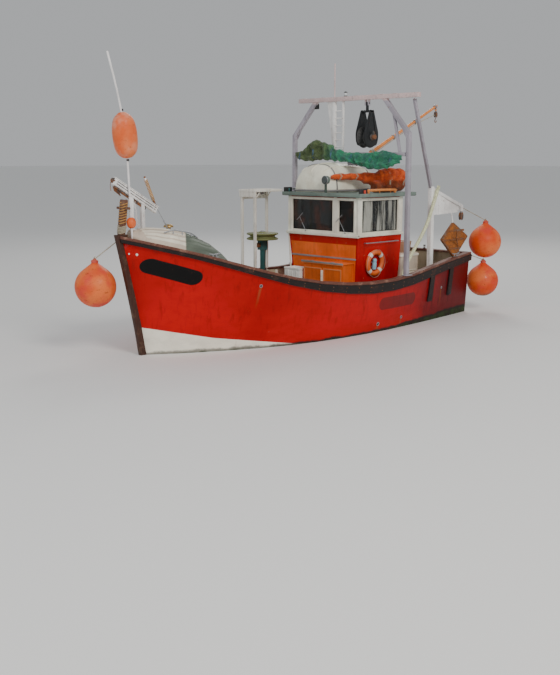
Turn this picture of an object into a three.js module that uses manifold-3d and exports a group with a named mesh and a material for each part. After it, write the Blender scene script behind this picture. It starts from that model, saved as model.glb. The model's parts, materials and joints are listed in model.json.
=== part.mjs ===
// Fishing trawler, an inshore boat of about ten metres. Millimetres, +X to the bow, +Y to port, +Z up.
// The origin lies on the centreline amidships, at the waterline.
import * as THREE from 'three';
import { mergeVertices } from 'three/addons/utils/BufferGeometryUtils.js';
import Module from 'manifold-3d';

const wasm = await Module();
wasm.setup();

// Driving dimensions
const stemHead = 5060;          // forward end of the planking at the rail
const stemFoot = 4570;          // the same at the waterline
const sternX = -4700;           // outer face of the transom
const bulwark = 75;             // thickness of the bulwark
const railThick = 45;           // capping rail
const gap = 0.3;                // between touching pieces
const houseFront = -700;        // wheelhouse at its sill
const houseBack = -2290;
const houseHalf = 1100;
const footHalf = 960;           // half width of the house at the deck
const sillZ = 2090;
const eavesZ = 3020;
const wallThick = 45;
const roofThick = 85;
const frameX = -1600;           // plane of the gantry
const frameHalf = 1800;         // its legs from the centreline
const kneeZ = 4480;
const beamZ = 5290;
const crossZ = 3990;
const postX = -3120;            // gallows posts
const postHalf = 1330;
const shaftX = -4010;           // propeller centre
const shaftZ = -760;
const bladeTip = 300;
const rudderX = -4370;
const winchX = 1250;
const winchZ = 860;

// Hull lines: [share of the length from the stem, value]
const railLine = [[0, 2375], [0.1, 2070], [0.2, 1740], [0.3, 1462], [0.4, 1280], [0.5, 1185], [0.6, 1160],
  [0.7, 1215], [0.8, 1335], [0.9, 1435], [1, 1505]];
const railHalf = [[0, 30], [0.035, 390], [0.066, 670], [0.117, 1070], [0.218, 1540], [0.319, 1770],
  [0.42, 1855], [0.522, 1880], [0.623, 1860], [0.724, 1795], [0.826, 1690], [0.927, 1545], [1, 1420]];
const waterHalf = [[0, 22], [0.066, 430], [0.148, 820], [0.236, 1190], [0.337, 1470], [0.446, 1610],
  [0.58, 1665], [0.766, 1560], [1, 1330]];
const bottomLine = [[0, -600], [0.15, -680], [0.4, -720], [0.6, -680], [0.8, -500], [1, -200]];
const deckLine = [[0, 1300], [0.17, 930], [0.3, 640], [0.45, 450], [0.6, 420], [0.75, 470], [0.9, 590], [1, 680]];

const colours = {
  red: [0xb3121a, 0.5, 0], deepRed: [0x8e1016, 0.5, 0], orangeRed: [0xc8401c, 0.55, 0],
  orange: [0xe2571f, 0.5, 0], buoy: [0xe8583a, 0.45, 0], cream: [0xe9e0c8, 0.6, 0],
  white: [0xe8e6dc, 0.5, 0], brown: [0x4a2a1c, 0.8, 0], darkBrown: [0x2b1b16, 0.8, 0],
  black: [0x191818, 0.6, 0], lilac: [0xa9a2ac, 0.5, 0.2], grey: [0x8d9190, 0.6, 0.2],
  paleGrey: [0xc9c9cb, 0.5, 0.1], greenGrey: [0x55665d, 0.6, 0], green: [0x1f6a4e, 0.9, 0],
  olive: [0x6b6f3c, 0.6, 0.2], paleGreen: [0xc3cfa0, 0.6, 0], teal: [0x2c5c5e, 0.6, 0],
  rust: [0x7d3f22, 0.9, 0.2], bronze: [0xa77c3c, 0.35, 0.9], steel: [0x8b8d90, 0.4, 0.8],
  deck: [0x8b7f6c, 0.85, 0], glass: [0x2c3a3c, 0.1, 0], basket: [0xb98a6a, 0.8, 0], rope: [0xb8a268, 0.9, 0],
};

const trawler = new THREE.Group();

// Smooth curve through a table of pairs
function line(table, t) {
  const last = table.length - 1;
  let i = 0;
  while (i < last - 1 && t > table[i + 1][0]) i += 1;
  const [t0, v0] = table[i];
  const [t1, v1] = table[i + 1];
  const slope = (a, b) => (b[1] - a[1]) / (b[0] - a[0]);
  const here = slope(table[i], table[i + 1]);
  const m0 = i === 0 ? here : (here + slope(table[i - 1], table[i])) / 2;
  const m1 = i === last - 1 ? here : (here + slope(table[i + 1], table[i + 2])) / 2;
  const w = t1 - t0;
  const s = (t - t0) / w;
  return v0 * (1 + 2 * s) * (1 - s) ** 2 + m0 * w * s * (1 - s) ** 2
    + v1 * s * s * (3 - 2 * s) - m1 * w * s * s * (1 - s);
}

// A closed three.js geometry as a solid
function solid(geometry) {
  let g = geometry.clone();
  for (const name of Object.keys(g.attributes)) if (name !== 'position') g.deleteAttribute(name);
  g = mergeVertices(g, 1e-3);
  const index = g.index.array;
  const made = new wasm.Manifold(new wasm.Mesh({
    numProp: 3, vertProperties: new Float32Array(g.attributes.position.array), triVerts: new Uint32Array(index),
  }));
  return made;
}

// A solid back as a geometry
function geometryOf(body) {
  const mesh = body.getMesh();
  const g = new THREE.BufferGeometry();
  const xyz = new Float32Array(mesh.numVert * 3);
  for (let i = 0; i < mesh.numVert; i += 1) {
    for (let k = 0; k < 3; k += 1) xyz[3 * i + k] = mesh.vertProperties[i * mesh.numProp + k];
  }
  g.setAttribute('position', new THREE.BufferAttribute(xyz, 3));
  g.setIndex(new THREE.BufferAttribute(new Uint32Array(mesh.triVerts), 1));
  g.computeVertexNormals();
  return g;
}

// One named piece of the boat
function add(name, body, colour) {
  const [hex, roughness, metalness] = colours[colour];
  const geometry = body.isBufferGeometry ? body : geometryOf(body);
  const mesh = new THREE.Mesh(geometry, new THREE.MeshStandardMaterial({ color: hex, roughness, metalness }));
  mesh.name = name;
  trawler.add(mesh);
}

// Box between two corners
function box(x0, x1, y0, y1, z0, z1) {
  const g = new THREE.BoxGeometry(x1 - x0, y1 - y0, z1 - z0);
  g.translate((x0 + x1) / 2, (y0 + y1) / 2, (z0 + z1) / 2);
  return solid(g);
}

// Geometry that stands along +Z from 0 to its length, laid from p to q
function lay(g, p, q, turn = 0) {
  const a = new THREE.Vector3(...p);
  const d = new THREE.Vector3(...q).sub(a);
  const m = new THREE.Matrix4().makeRotationZ(turn);
  g.applyMatrix4(m);
  g.applyQuaternion(new THREE.Quaternion().setFromUnitVectors(new THREE.Vector3(0, 0, 1), d.clone().normalize()));
  g.translate(a.x, a.y, a.z);
  return g;
}

const span = (p, q) => new THREE.Vector3(...p).distanceTo(new THREE.Vector3(...q));

// Round rod or cone from p to q
function rod(p, q, r, sides = 10, rEnd = r) {
  const h = span(p, q);
  const g = new THREE.CylinderGeometry(rEnd, r, h, sides);
  g.rotateX(Math.PI / 2);
  g.translate(0, 0, h / 2);
  return solid(lay(g, p, q, Math.PI / sides));
}

// Hole that a round pin of radius r turns in
const bore = (p, q, r, sides = 20) => rod(p, q, (r + 0.3) / Math.cos(Math.PI / sides), sides);

// Rectangular bar from p to q; a is its side across and b its side along the other way
function bar(p, q, a, b, turn = 0) {
  const h = span(p, q);
  const g = new THREE.BoxGeometry(a, b, h);
  g.translate(0, 0, h / 2);
  return solid(lay(g, p, q, turn));
}

// Body of revolution about +Z, profile as [radius, height]
function turned(profile, sides = 20) {
  return new THREE.LatheGeometry(profile.map(([r, z]) => new THREE.Vector2(r, z)), sides).rotateX(Math.PI / 2);
}

// Flat outline given as [a, b], pushed along an axis from lo to hi.
// axis x uses (y, z), axis y uses (x, z) and axis z uses (x, y).
function plate(axis, outline, lo, hi) {
  const shape = new THREE.Shape(outline.map(([a, b]) => new THREE.Vector2(a, b)));
  const g = new THREE.ExtrudeGeometry(shape, { depth: hi - lo, bevelEnabled: false, curveSegments: 8 });
  if (axis === 'x') {
    g.applyMatrix4(new THREE.Matrix4().set(0, 0, 1, lo, 1, 0, 0, 0, 0, 1, 0, 0, 0, 0, 0, 1));
  } else if (axis === 'y') {
    g.applyMatrix4(new THREE.Matrix4().set(1, 0, 0, 0, 0, 0, -1, hi, 0, 1, 0, 0, 0, 0, 0, 1));
  } else {
    g.translate(0, 0, lo);
  }
  return solid(g);
}

// Tube along a smooth path
function tube(points, r, steps = 16, sides = 8) {
  const path = new THREE.CatmullRomCurve3(points.map((p) => new THREE.Vector3(...p)), false, 'centripetal');
  const ring = new THREE.Shape(new THREE.EllipseCurve(0, 0, r, r, 0, 2 * Math.PI).getPoints(sides).slice(0, sides));
  return solid(new THREE.ExtrudeGeometry(ring, { steps, extrudePath: path, bevelEnabled: false }));
}

// Skin through loops of equal count, closed at both ends. A ribbon end joins each point to its mirror
// point across the loop; any other end is a fan round the middle.
function loft(loops, ribbon = false) {
  const n = loops[0].length;
  const xyz = loops.flat(2);
  const faces = [];
  for (let i = 0; i < loops.length - 1; i += 1) {
    for (let k = 0; k < n; k += 1) {
      const a = i * n + k;
      const b = i * n + (k + 1) % n;
      faces.push(a, b, b + n, a, b + n, a + n);
    }
  }
  for (const [row, flip] of [[0, true], [loops.length - 1, false]]) {
    const ends = [];
    if (ribbon) {
      const odd = n % 2;
      for (let k = 0; k + 1 < n - k - 1 + odd; k += 1) {
        const mirror = (n - k - 1 + odd) % n;
        const next = n - k - 2 + odd;
        if (k !== mirror) ends.push([k, next, mirror]);
        if (k + 1 !== next) ends.push([k, k + 1, next]);
      }
    } else {
      xyz.push(...[0, 1, 2].map((c) => loops[row].reduce((sum, p) => sum + p[c], 0) / n));
      for (let k = 0; k < n; k += 1) ends.push([k, (k + 1) % n, xyz.length / 3 - 1 - row * n]);
    }
    for (const [a, b, c] of ends) {
      if (flip) faces.push(row * n + b, row * n + a, row * n + c);
      else faces.push(row * n + a, row * n + b, row * n + c);
    }
  }
  const g = new THREE.BufferGeometry();
  g.setAttribute('position', new THREE.BufferAttribute(new Float32Array(xyz), 3));
  g.setIndex(faces);
  let body = solid(g);
  if (body.volume() <= 0) {
    for (let i = 0; i < faces.length; i += 3) [faces[i], faces[i + 1]] = [faces[i + 1], faces[i]];
    g.setIndex(faces);
    body = solid(g);
  }
  return body;
}

const mix = (a, b, t) => a + (b - a) * t;
const largest = (body) => body.decompose().sort((p, q) => q.volume() - p.volume())[0];
const join = (bodies) => bodies.reduce((all, b) => all.add(b));

// Hull form
const rail = (u) => line(railLine, u);
const deckAt = (u) => line(deckLine, u);
const stemAt = (z) => (z >= 0 ? stemFoot + (stemHead - stemFoot) * (z / 2375) ** 1.15 : stemFoot + 0.5 * z);
const xAt = (u, z, out = 0) => mix(stemAt(z) + out, sternX - out, u);
const shareAt = (x, z) => (stemAt(z) - x) / (stemAt(z) - sternX);

function halfAt(u, z) {
  const wet = line(waterHalf, u);
  if (z >= 0) return mix(wet, line(railHalf, u), (z / rail(u)) ** mix(1.35, 0.9, Math.min(1, u * 2)));
  const depth = Math.min(1, z / line(bottomLine, u));
  return wet * (1 - depth ** mix(1.25, 2.7, Math.min(1, u * 1.8))) ** 0.62;
}

const stations = [0, 0.02, 0.045, 0.08, 0.12, 0.17, 0.23, 0.3, 0.38, 0.46, 0.54, 0.62, 0.7, 0.78, 0.86, 0.93, 1];

// Outer skin, moved out by a distance
function hullBody(out = 0) {
  return loft(stations.map((u) => {
    const low = line(bottomLine, u);
    const side = [];
    for (const k of [0.93, 0.72, 0.45, 0.2]) side.push([halfAt(u, low * k) + out, low * k]);
    for (const k of [0, 0.28, 0.56, 0.8, 1]) {
      const z = rail(u) * k + (k === 1 ? out : 0);
      side.push([halfAt(u, rail(u) * k) + out, z]);
    }
    const port = side.map(([y, z]) => [xAt(u, Math.min(z, rail(u)), out), y, z]);
    const starboard = side.map(([y, z]) => [xAt(u, Math.min(z, rail(u)), out), -y, z]).reverse();
    return [[xAt(u, low, out), 0, low - out], ...port, ...starboard];
  }), true);
}

// Belt of the hull between two heights, as a solid slab; heights are functions of the share of the length
function slab(low, high, out, us = stations, levels = 2) {
  return loft(us.map((u) => {
    const side = [];
    for (let i = 0; i < levels; i += 1) {
      const z = mix(low(u), high(u), i / (levels - 1));
      side.push([xAt(u, Math.min(z, rail(u)), out), halfAt(u, Math.min(z, rail(u))) + out, z]);
    }
    return [...side, ...side.map(([x, y, z]) => [x, -y, z]).reverse()];
  }), true);
}

const outer = hullBody(0);
const clear = hullBody(gap);
const wellStations = [0.168, 0.2, 0.25, 0.31, 0.38, 0.46, 0.54, 0.62, 0.7, 0.78, 0.86, 0.93, 1];
const well = loft(wellStations.map((u) => {
  const side = [];
  const top = rail(u) + 160;
  for (const k of [0, 0.5, 1]) {
    const z = mix(deckAt(u), top, k);
    const x = mix(stemAt(z), sternX + bulwark, u);
    side.push([x, halfAt(u, z) - bulwark, z]);
  }
  return [...side, ...side.map(([x, y, z]) => [x, -y, z]).reverse()];
}));
const rudderTrunk = bore([rudderX, 0, -600], [rudderX, 0, 60], 27);
const hull = outer.subtract(well).subtract(rudderTrunk);
add('hull', hull, 'red');
const hullLift = hull.translate([0, 0, gap]);

// Stem post, keel and stern gear
const stemZs = [-640, -300, 0, 500, 1000, 1500, 2000, 2440];
const stemFace = stemZs.map((z) => [stemAt(z) + 95, z]);
const stemBack = stemZs.map((z) => [stemAt(z) - 170, z]).reverse();
add('stem_post', plate('y', [...stemFace, ...stemBack], -48, 48).subtract(clear), 'darkBrown');
const keelOutline = [[4235, -640.3], [4180, -820], [3700, -930], [-3760, -1180], [-4520, -1200], [-4520, -1130],
  [-3800, -1110], [-3720, -900], [-3720, -300], [4000, -500]];
const pintleHole = bore([rudderX, 0, -1300], [rudderX, 0, -1000], 18);
const stemCut = plate('y', [[stemFace[0][0], -640.5], ...stemFace.map(([x, z]) => [x + 5, z]),
  ...stemBack.map(([x, z]) => [x - 0.5, z]), [stemBack.at(-1)[0], -640.5]], -48.4, 48.4);
add('keel', plate('y', keelOutline, -60, 60).subtract(clear).subtract(stemCut).subtract(pintleHole)
  .add(rod([-3640, 0, shaftZ], [-3880, 0, shaftZ], 76, 16, 52))
  .subtract(bore([-3760, 0, shaftZ], [-3900, 0, shaftZ], 25)), 'black');

function blade(turn) {
  const loops = [[40, 95, 62, 16], [90, 150, 54, 15], [160, 205, 42, 12], [230, 190, 34, 9], [280, 120, 29, 7],
    [bladeTip, 40, 27, 5]].map(([r, chord, pitch, thick]) => {
    const a = THREE.MathUtils.degToRad(pitch);
    return [[-0.5, 0], [-0.2, 0.5], [0.25, 0.45], [0.5, 0], [0.25, -0.45], [-0.2, -0.5]].map(([c, t]) => {
      const along = c * chord;
      const off = t * thick;
      return [along * Math.sin(a) + off * Math.cos(a), along * Math.cos(a) - off * Math.sin(a), r];
    });
  });
  return loft(loops).rotate([turn, 0, 0]);
}
const hub = solid(turned([[0, -70], [34, -66], [48, -20], [50, 60], [0, 60]], 16).rotateY(Math.PI / 2));
const propeller = join([hub, blade(0), blade(120), blade(240), rod([0, 0, 0], [235, 0, 0], 25, 16)]).translate([shaftX, 0, shaftZ]);
add('propeller', propeller, 'bronze');

const rudderBlade = plate('y', [[-4235, -560], [-4235, -1040], [-4690, -1090], [-4720, -800], [-4640, -420],
  [-4400, -400], [-4300, -440]], -22, 22);
const rudder = join([rudderBlade, rod([rudderX, 0, -700], [rudderX, 0, 30], 27, 14),
  rod([rudderX, 0, -1160], [rudderX, 0, -1000], 18, 14)]);
add('rudder', rudder, 'black');

// Capping rail and rubbing strake
const ringOuter = slab((u) => rail(u) - 14, (u) => rail(u) + railThick, 32);
const ringStations = [0.03, ...stations.slice(2)];
const ringInner = loft(ringStations.map((u) => {
  const z = rail(u);
  const x = mix(stemAt(z), sternX + 100, u);
  const y = line(railHalf, u) - 100;
  return [[x, y, z - 90], [x, y, z + 90], [x, -y, z + 90], [x, -y, z - 90]];
}));
const capping = ringOuter.subtract(ringInner).subtract(clear).subtract(stemCut);
add('capping_rail', capping, 'brown');
const strakeHigh = [[0, 62], [0.2, 90], [0.42, 170], [0.55, 205], [0.75, 190], [1, 150]];
const strake = slab((u) => rail(u) - 18 - line(strakeHigh, u), (u) => rail(u) - 18, 46, stations, 2);
const uprights = [[-2860, -2660, 500], [-3790, -3600, 560]];
const uprightBoxes = join(uprights.map(([x0, x1, z0]) => box(x0, x1, -2200, 2200, z0, 1260)));
const uprightBody = hullBody(38).subtract(clear).intersect(uprightBoxes);
const strakeBody = strake.subtract(clear).subtract(stemCut).add(uprightBody);
add('rubbing_strake', strakeBody, 'darkBrown');

// Foredeck turtle-back, and the mooring post on the stem head
const crown = [[0, 110], [0.03, 215], [0.06, 325], [0.1, 415], [0.13, 455], [0.17, 435]];
const grown = (body) => join([[0, 0, 0], [0, 0, gap], [0, 0, -gap], [0, gap, 0], [0, -gap, 0], [gap, 0, 0],
  [-gap, 0, 0]].map((move) => body.translate(move)));
const underCut = grown(capping).add(grown(hull));
const foredeckShape = loft([0.021, 0.036, 0.06, 0.09, 0.13, 0.167].map((u) => {
  const z = rail(u) + gap;
  const half = line(railHalf, u) - 104;
  const x = xAt(u, rail(u)) - 4;
  const top = [];
  for (const k of [1, 0.8, 0.5, 0.2, -0.2, -0.5, -0.8, -1]) {
    top.push([x, k * half, z + 26 + line(crown, u) * (1 - k * k)]);
  }
  return [[x, half, z], ...top, [x, -half, z]];
}));
const foredeck = largest(foredeckShape.subtract(underCut));
add('foredeck', foredeck, 'cream');
const bitt = bar([5045, 0, 2300], [4937, 0, 3110], 112, 112).add(rod([4957, -200, 2950], [4957, 200, 2950], 26, 12));
add('samson_post', bitt.subtract(box(4700, 5300, -300, 300, 1900, 2440 + gap)), 'brown');

// Bow davit, with the stowed anchor lying along it
const davit = join([
  bar([4765, 0, 2200], [4765, 0, 3200], 62, 62), bar([4510, 0, 2100], [4510, 0, 3060], 70, 70),
  bar([5170, 0, 3480], [4170, 0, 2890], 130, 60),
]);
const foredeckCut = foredeck.add(foredeck.translate([0, 0, gap])).add(hull);
add('bow_davit', largest(davit.subtract(foredeckCut)), 'paleGrey');

// Dan buoy: a marker pole with its float, stepped on the rail at the stem
const danPath = [[4828, 90, 2250], [4868, 90, 3250], [4930, 90, 4330], [5075, 90, 5100], [5280, 90, 5850]];
const along = (p, q, t) => p.map((v, i) => mix(v, q[i], t));
const danPole = tube(danPath, 21, 16, 10).subtract(foredeckCut).subtract(hullLift);
add('dan_pole', largest(danPole.subtract(capping.add(capping.translate([0, 0, gap])))), 'paleGrey');
const floatShape = turned([[0, -430], [90, -415], [195, -310], [235, -120], [235, 120], [185, 310], [80, 415],
  [0, 430]], 20);
const danUp = new THREE.Vector3(0.11, 0, 1).normalize();
floatShape.applyQuaternion(new THREE.Quaternion().setFromUnitVectors(new THREE.Vector3(0, 0, 1), danUp));
floatShape.translate(4938, 90, 4330);
add('dan_float', solid(floatShape).subtract(tube(danPath, 21 + gap, 16, 10)), 'buoy');

// Deck gear ahead of the wheelhouse: hatch, trawl winch and rail hauler
const floorOf = (body) => largest(body.subtract(hullLift));
const standing = (body) => largest(body.subtract(underCut));
const coaming = box(2050, 2850, -400, 400, 500, 1010).subtract(box(2110, 2790, -340, 340, 760, 1100));
add('hatch_coaming', floorOf(coaming), 'grey');
const lid = box(2030, 2870, -420, 420, 1010 + gap, 1052).add(rod([2040, -300, 1041], [2040, 300, 1041], 20, 12));
add('hatch_lid', lid, 'teal');

const winchSide = (y) => plate('y', [[winchX - 330, 480], [winchX + 330, 480], [winchX + 200, winchZ + 90],
  [winchX - 200, winchZ + 90]], y - 14, y + 14);
const axleHole = bore([winchX, -900, winchZ], [winchX, 900, winchZ], 36);
const winchFrame = join([winchSide(-560), winchSide(560), winchSide(0),
  box(winchX - 300, winchX + 300, -570, 570, 480, 610)]).subtract(axleHole);
add('winch_frame', floorOf(winchFrame), 'olive');
const drumHalf = (y) => join([rod([winchX, y - 190, winchZ], [winchX, y + 190, winchZ], 95, 20),
  rod([winchX, y - 215, winchZ], [winchX, y - 190, winchZ], 215, 24),
  rod([winchX, y + 190, winchZ], [winchX, y + 215, winchZ], 215, 24)]);
add('winch_drums', join([drumHalf(-285), drumHalf(285), rod([winchX, -760, winchZ], [winchX, 760, winchZ], 36, 16),
  rod([winchX, 640, winchZ], [winchX, 760, winchZ], 80, 16), rod([winchX, -760, winchZ], [winchX, -640, winchZ], 80, 16)]),
'rust');

const haulX = -190;
const haulY = -1520;
const haulZ = 2005;
const haulPost = join([rod([haulX, haulY, 400], [haulX, haulY, haulZ - 260], 62, 14),
  box(haulX - 95, haulX + 95, haulY - 80, haulY + 80, haulZ - 300, haulZ - 65)])
  .subtract(bore([haulX, haulY, haulZ - 185], [haulX, haulY, haulZ], 36));
add('hauler_post', floorOf(haulPost), 'teal');
const haulDisc = solid(turned([[0, -180], [36, -180], [36, -52], [362, -52], [385, -38], [385, -16], [305, 20],
  [305, 42], [385, 78], [385, 100], [362, 114], [95, 120], [80, 142], [0, 142]], 32)).translate([haulX, haulY, haulZ]);
add('hauler_disc', haulDisc, 'olive');

// Canopy over the hauler
const canopy = box(-640, 260, -1860, -1300, 3110, 3160).add(box(215, 260, -1860, -1300, 2990, 3115));
const canopyPosts = join([[220, -1800], [220, -1345], [-600, -1800]].map(([x, y]) => box(x - 28, x + 28, y - 28, y + 28,
  y < -1500 ? 1150 : 400, 3120)));
add('hauler_canopy', standing(canopy.add(canopyPosts)), 'cream');

// Wheelhouse: four walls with their windows, roof and glass
const frustum = (rows) => loft(rows.map(([x0, x1, half, z]) => [[x0, half, z], [x1, half, z], [x1, -half, z],
  [x0, -half, z]]));
const houseRows = (t) => [[houseBack + t, houseFront - 110 - t, footHalf - t, 380],
  [houseBack + t, houseFront - t, houseHalf - t, sillZ], [houseBack + t, houseFront - t, houseHalf - t, eavesZ]];
const inside = [[houseBack + wallThick, houseFront - 115 - wallThick, footHalf - wallThick - 4, 300],
  houseRows(wallThick)[1], [houseBack + wallThick, houseFront - wallThick, houseHalf - wallThick, eavesZ + 80]];
const shell = frustum(houseRows(0)).subtract(frustum(inside));
const core = (t) => frustum([[-9000, 9000, footHalf - t, 380], [-9000, 9000, houseHalf - t, sillZ],
  [-9000, 9000, houseHalf - t, eavesZ + 200]]);
const sides = shell.subtract(core(wallThick));
const ends = shell.intersect(core(wallThick + gap));
const windowLow = 2215;
const windowHigh = 2950;
const sideWindow = [-2150, -830];
const frontWindows = [[-1000, 330], [500, 985]];
const doorY = [-880, -260];
const doorTop = 2640;
const sideCut = box(sideWindow[0], sideWindow[1], -2000, 2000, windowLow, windowHigh);
const frontCut = join(frontWindows.map(([y0, y1]) => box(-1000, -500, y0, y1, windowLow, windowHigh)));
const backWindow = box(-2500, -2100, 120, 880, windowLow, windowHigh);
const doorway = box(-2500, -2100, doorY[0], doorY[1], 620, doorTop);
add('wheelhouse_port', floorOf(sides.intersect(box(-9000, 9000, 0, 3000, 0, 5000)).subtract(sideCut)), 'deepRed');
add('wheelhouse_starboard', floorOf(sides.intersect(box(-9000, 9000, -3000, 0, 0, 5000))
  .subtract(sideCut)), 'deepRed');
add('wheelhouse_front', floorOf(ends.intersect(box(-1400, 0, -2000, 2000, 0, 5000)).subtract(frontCut)), 'orangeRed');
add('wheelhouse_back', floorOf(ends.intersect(box(-3000, -1400, -2000, 2000, 0, 5000))
  .subtract(backWindow).subtract(doorway)), 'deepRed');
add('wheelhouse_roof', box(houseBack - 360, houseFront + 110, -1235, 1235, eavesZ + gap, eavesZ + roofThick),
  'greenGrey');

const paneLow = windowLow - 30;
const paneHigh = windowHigh + 30;
const lining = wallThick + gap;
add('glass_front', box(houseFront - lining - 6, houseFront - lining, -1030, 1015, paneLow, paneHigh), 'glass');
for (const [side, s] of [['port', 1], ['starboard', -1]]) {
  const y = [s * (houseHalf - lining), s * (houseHalf - lining - 6)].sort((a, b) => a - b);
  add(`glass_${side}`, box(sideWindow[0] - 30, sideWindow[1] + 30, y[0], y[1], paneLow, paneHigh), 'glass');
}
add('glass_back', box(houseBack + lining, houseBack + lining + 6, 90, 910, paneLow, paneHigh), 'glass');

// Aft door on its own hinge line, with its pane
const doorHingeY = doorY[1] + 8;
const doorHingeX = houseBack - 30;
const doorLight = [doorY[0] + 90, doorY[1] - 110, 1950, 2520];
const doorLeaf = join([box(houseBack - 42, houseBack - gap, doorY[0] - 30, doorHingeY, 700, doorTop + 30),
  rod([doorHingeX, doorHingeY, 900], [doorHingeX, doorHingeY, 2500], 15, 12)])
  .subtract(box(houseBack - 100, houseBack - 30, ...doorLight));
add('aft_door', doorLeaf, 'deepRed');

// Inside: raised sole, console, seat and helm
const sole = box(houseBack + wallThick + 1, houseFront - 110 - wallThick - 12, -890, 890, 400, 900);
const console = plate('y', [[-880, 890], [-1110, 890], [-1110, 1900], [-1000, 2060], [-880, 2060]], -880, 860);
add('helm_console', floorOf(sole.add(console)).subtract(bore([-1300, 0, 1700], [-1000, 0, 1700], 20)), 'brown');
const wheelRim = solid(new THREE.TorusGeometry(210, 17, 10, 28).rotateY(Math.PI / 2));
const helm = join([wheelRim, rod([-18, 0, 0], [18, 0, 0], 45, 14), rod([0, 0, 0], [150, 0, 0], 20, 12),
  ...[0, 60, 120].map((a) => bar([0, -205, 0], [0, 205, 0], 14, 14).rotate([a, 0, 0]))]).translate([-1180, 0, 1700]);
add('helm_wheel', helm, 'steel');
add('skipper_seat', join([box(-1980, -1560, 240, 700, 1560, 1640), box(-1990, -1930, 240, 700, 1600, 2080),
  rod([-1760, 470, 900.3], [-1760, 470, 1580], 45, 14)]), 'brown');

// Locker across the front of the house, lifebuoy on its port side
const houseClear = frustum([[houseBack, houseFront - 109, footHalf + 1, 380], [houseBack, houseFront + 1,
  houseHalf + 1, sillZ]]);
const locker = box(-790, -370, -300, 940, 400, 1500).add(box(-790, -340, -330, 970, 1495, 1535));
add('front_locker', floorOf(locker.subtract(houseClear)), 'orangeRed');
add('fish_bin', floorOf(box(-655, -310, -880, -365, 400, 1330).subtract(box(-615, -350, -840, -405, 520, 1400))),
  'white');
const lean = THREE.MathUtils.radToDeg(Math.atan2(houseHalf - footHalf, sillZ - 380));
const wallAt = (z) => mix(footHalf, houseHalf, (z - 380) / (sillZ - 380));
const ring = solid(new THREE.TorusGeometry(250, 62, 14, 32)).scale([1, 1, 0.85]);
add('lifebuoy', ring.rotate([-90 - lean, 0, 0]).translate([-1320, wallAt(1500) + 51.9, 1500]), 'orange');

// On the roof: upturned dinghy, net roll and lamp
const roofTop = eavesZ + roofThick + gap;
const tenderRows = [[-740, 470, 400], [-820, 560, 550], [-1050, 600, 665], [-1450, 605, 690], [-1900, 590, 670],
  [-2400, 500, 600], [-2800, 330, 440], [-2960, 140, 250]];
const tender = loft(tenderRows.map(([x, half, deep]) => [[-half, 0], [-half * 0.96, deep * 0.45],
  [-half * 0.72, deep * 0.84], [-half * 0.25, deep], [half * 0.25, deep], [half * 0.72, deep * 0.84],
  [half * 0.96, deep * 0.45], [half, 0]].map(([y, z]) => [x, y - 450, roofTop + z])));
add('upturned_dinghy', tender, 'cream');
const roll = join([tube([[-830, 110, 3470], [-1250, 205, 3475], [-1700, 480, 3455], [-1960, 660, 3430]], 95, 14, 10),
  tube([[-1620, 440, 3435], [-1950, 700, 3425], [-2590, 960, 3440]], 155, 10, 10),
  tube([[-1880, 690, 3455], [-2200, 860, 3475], [-2590, 1000, 3480]], 200, 8, 10),
  tube([[-1650, 740, 3235], [-2100, 840, 3240], [-2560, 950, 3250]], 155, 10, 10)]);
add('net_roll', roll.subtract(box(-4000, 0, -2000, 2000, 2000, roofTop)).subtract(tender.translate([0, gap, 0])),
  'orange');
add('roof_lamp', join([rod([-650, 140, roofTop], [-650, 140, roofTop + 230], 30, 12),
  rod([-700, 140, roofTop + 300], [-610, 140, roofTop + 300], 95, 18)]), 'greenGrey');

// Gantry over the house: two legs, cross beam, top beam, mast and ladder
const legOf = (s, side) => join([
  bar([frameX, s * (frameHalf + 12), 1150], [frameX, s * frameHalf, kneeZ], side, side),
  bar([frameX, s * frameHalf, kneeZ - 40], [frameX, s * 1060, beamZ - 20], side, side),
]);
const legs = [legOf(1, 95), legOf(-1, 95)];
const legsClear = legOf(1, 95.8).add(legOf(-1, 95.8));
const legCut = underCut.add(box(frameX - 300, frameX + 300, -2500, 2500, beamZ - 50 - gap, 6000));
const [legPort, legStarboard] = legs.map((body) => largest(body.subtract(legCut)));
add('gantry_leg_port', legPort, 'lilac');
add('gantry_leg_starboard', legStarboard, 'lilac');
const pinX = -1900;
const crossBeam = join([box(frameX - 45, frameX + 45, -1735, 1735, crossZ - 45, crossZ + 45),
  box(-1960, frameX - 40, -70, 70, crossZ - 260, crossZ - 230),
  box(-1960, frameX - 40, -70, 70, crossZ - 70, crossZ - 40),
  box(frameX - 75, frameX - 40, -70, 70, crossZ - 260, crossZ + 45)])
  .subtract(bore([pinX, 0, crossZ - 300], [pinX, 0, crossZ], 17))
  .subtract(legsClear);
const uprightLow = crossZ + 45;
const uprightHigh = beamZ - 50 - gap;
const gantryPost = bar([frameX, 1560, crossZ], [frameX, 1340, 4960], 55, 55);
add('gantry_cross_beam', largest(crossBeam.add(gantryPost).subtract(legsClear)), 'lilac');
const ladderRungs = [];
for (let z = uprightLow + 130; z < uprightHigh - 60; z += 170) {
  ladderRungs.push(rod([frameX, -480, z], [frameX, -190, z], 13, 8));
}
const mast = join([box(frameX - 37, frameX + 37, -507, -433, uprightLow + gap, uprightHigh),
  plate('x', [[-500, uprightLow + 30], [-480, uprightHigh], [-700, uprightHigh]], frameX - 8, frameX + 8),
  box(frameX - 22, frameX + 22, -212, -168, uprightLow + gap, uprightHigh), ...ladderRungs]);
add('mast_ladder', mast, 'paleGrey');

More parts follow.
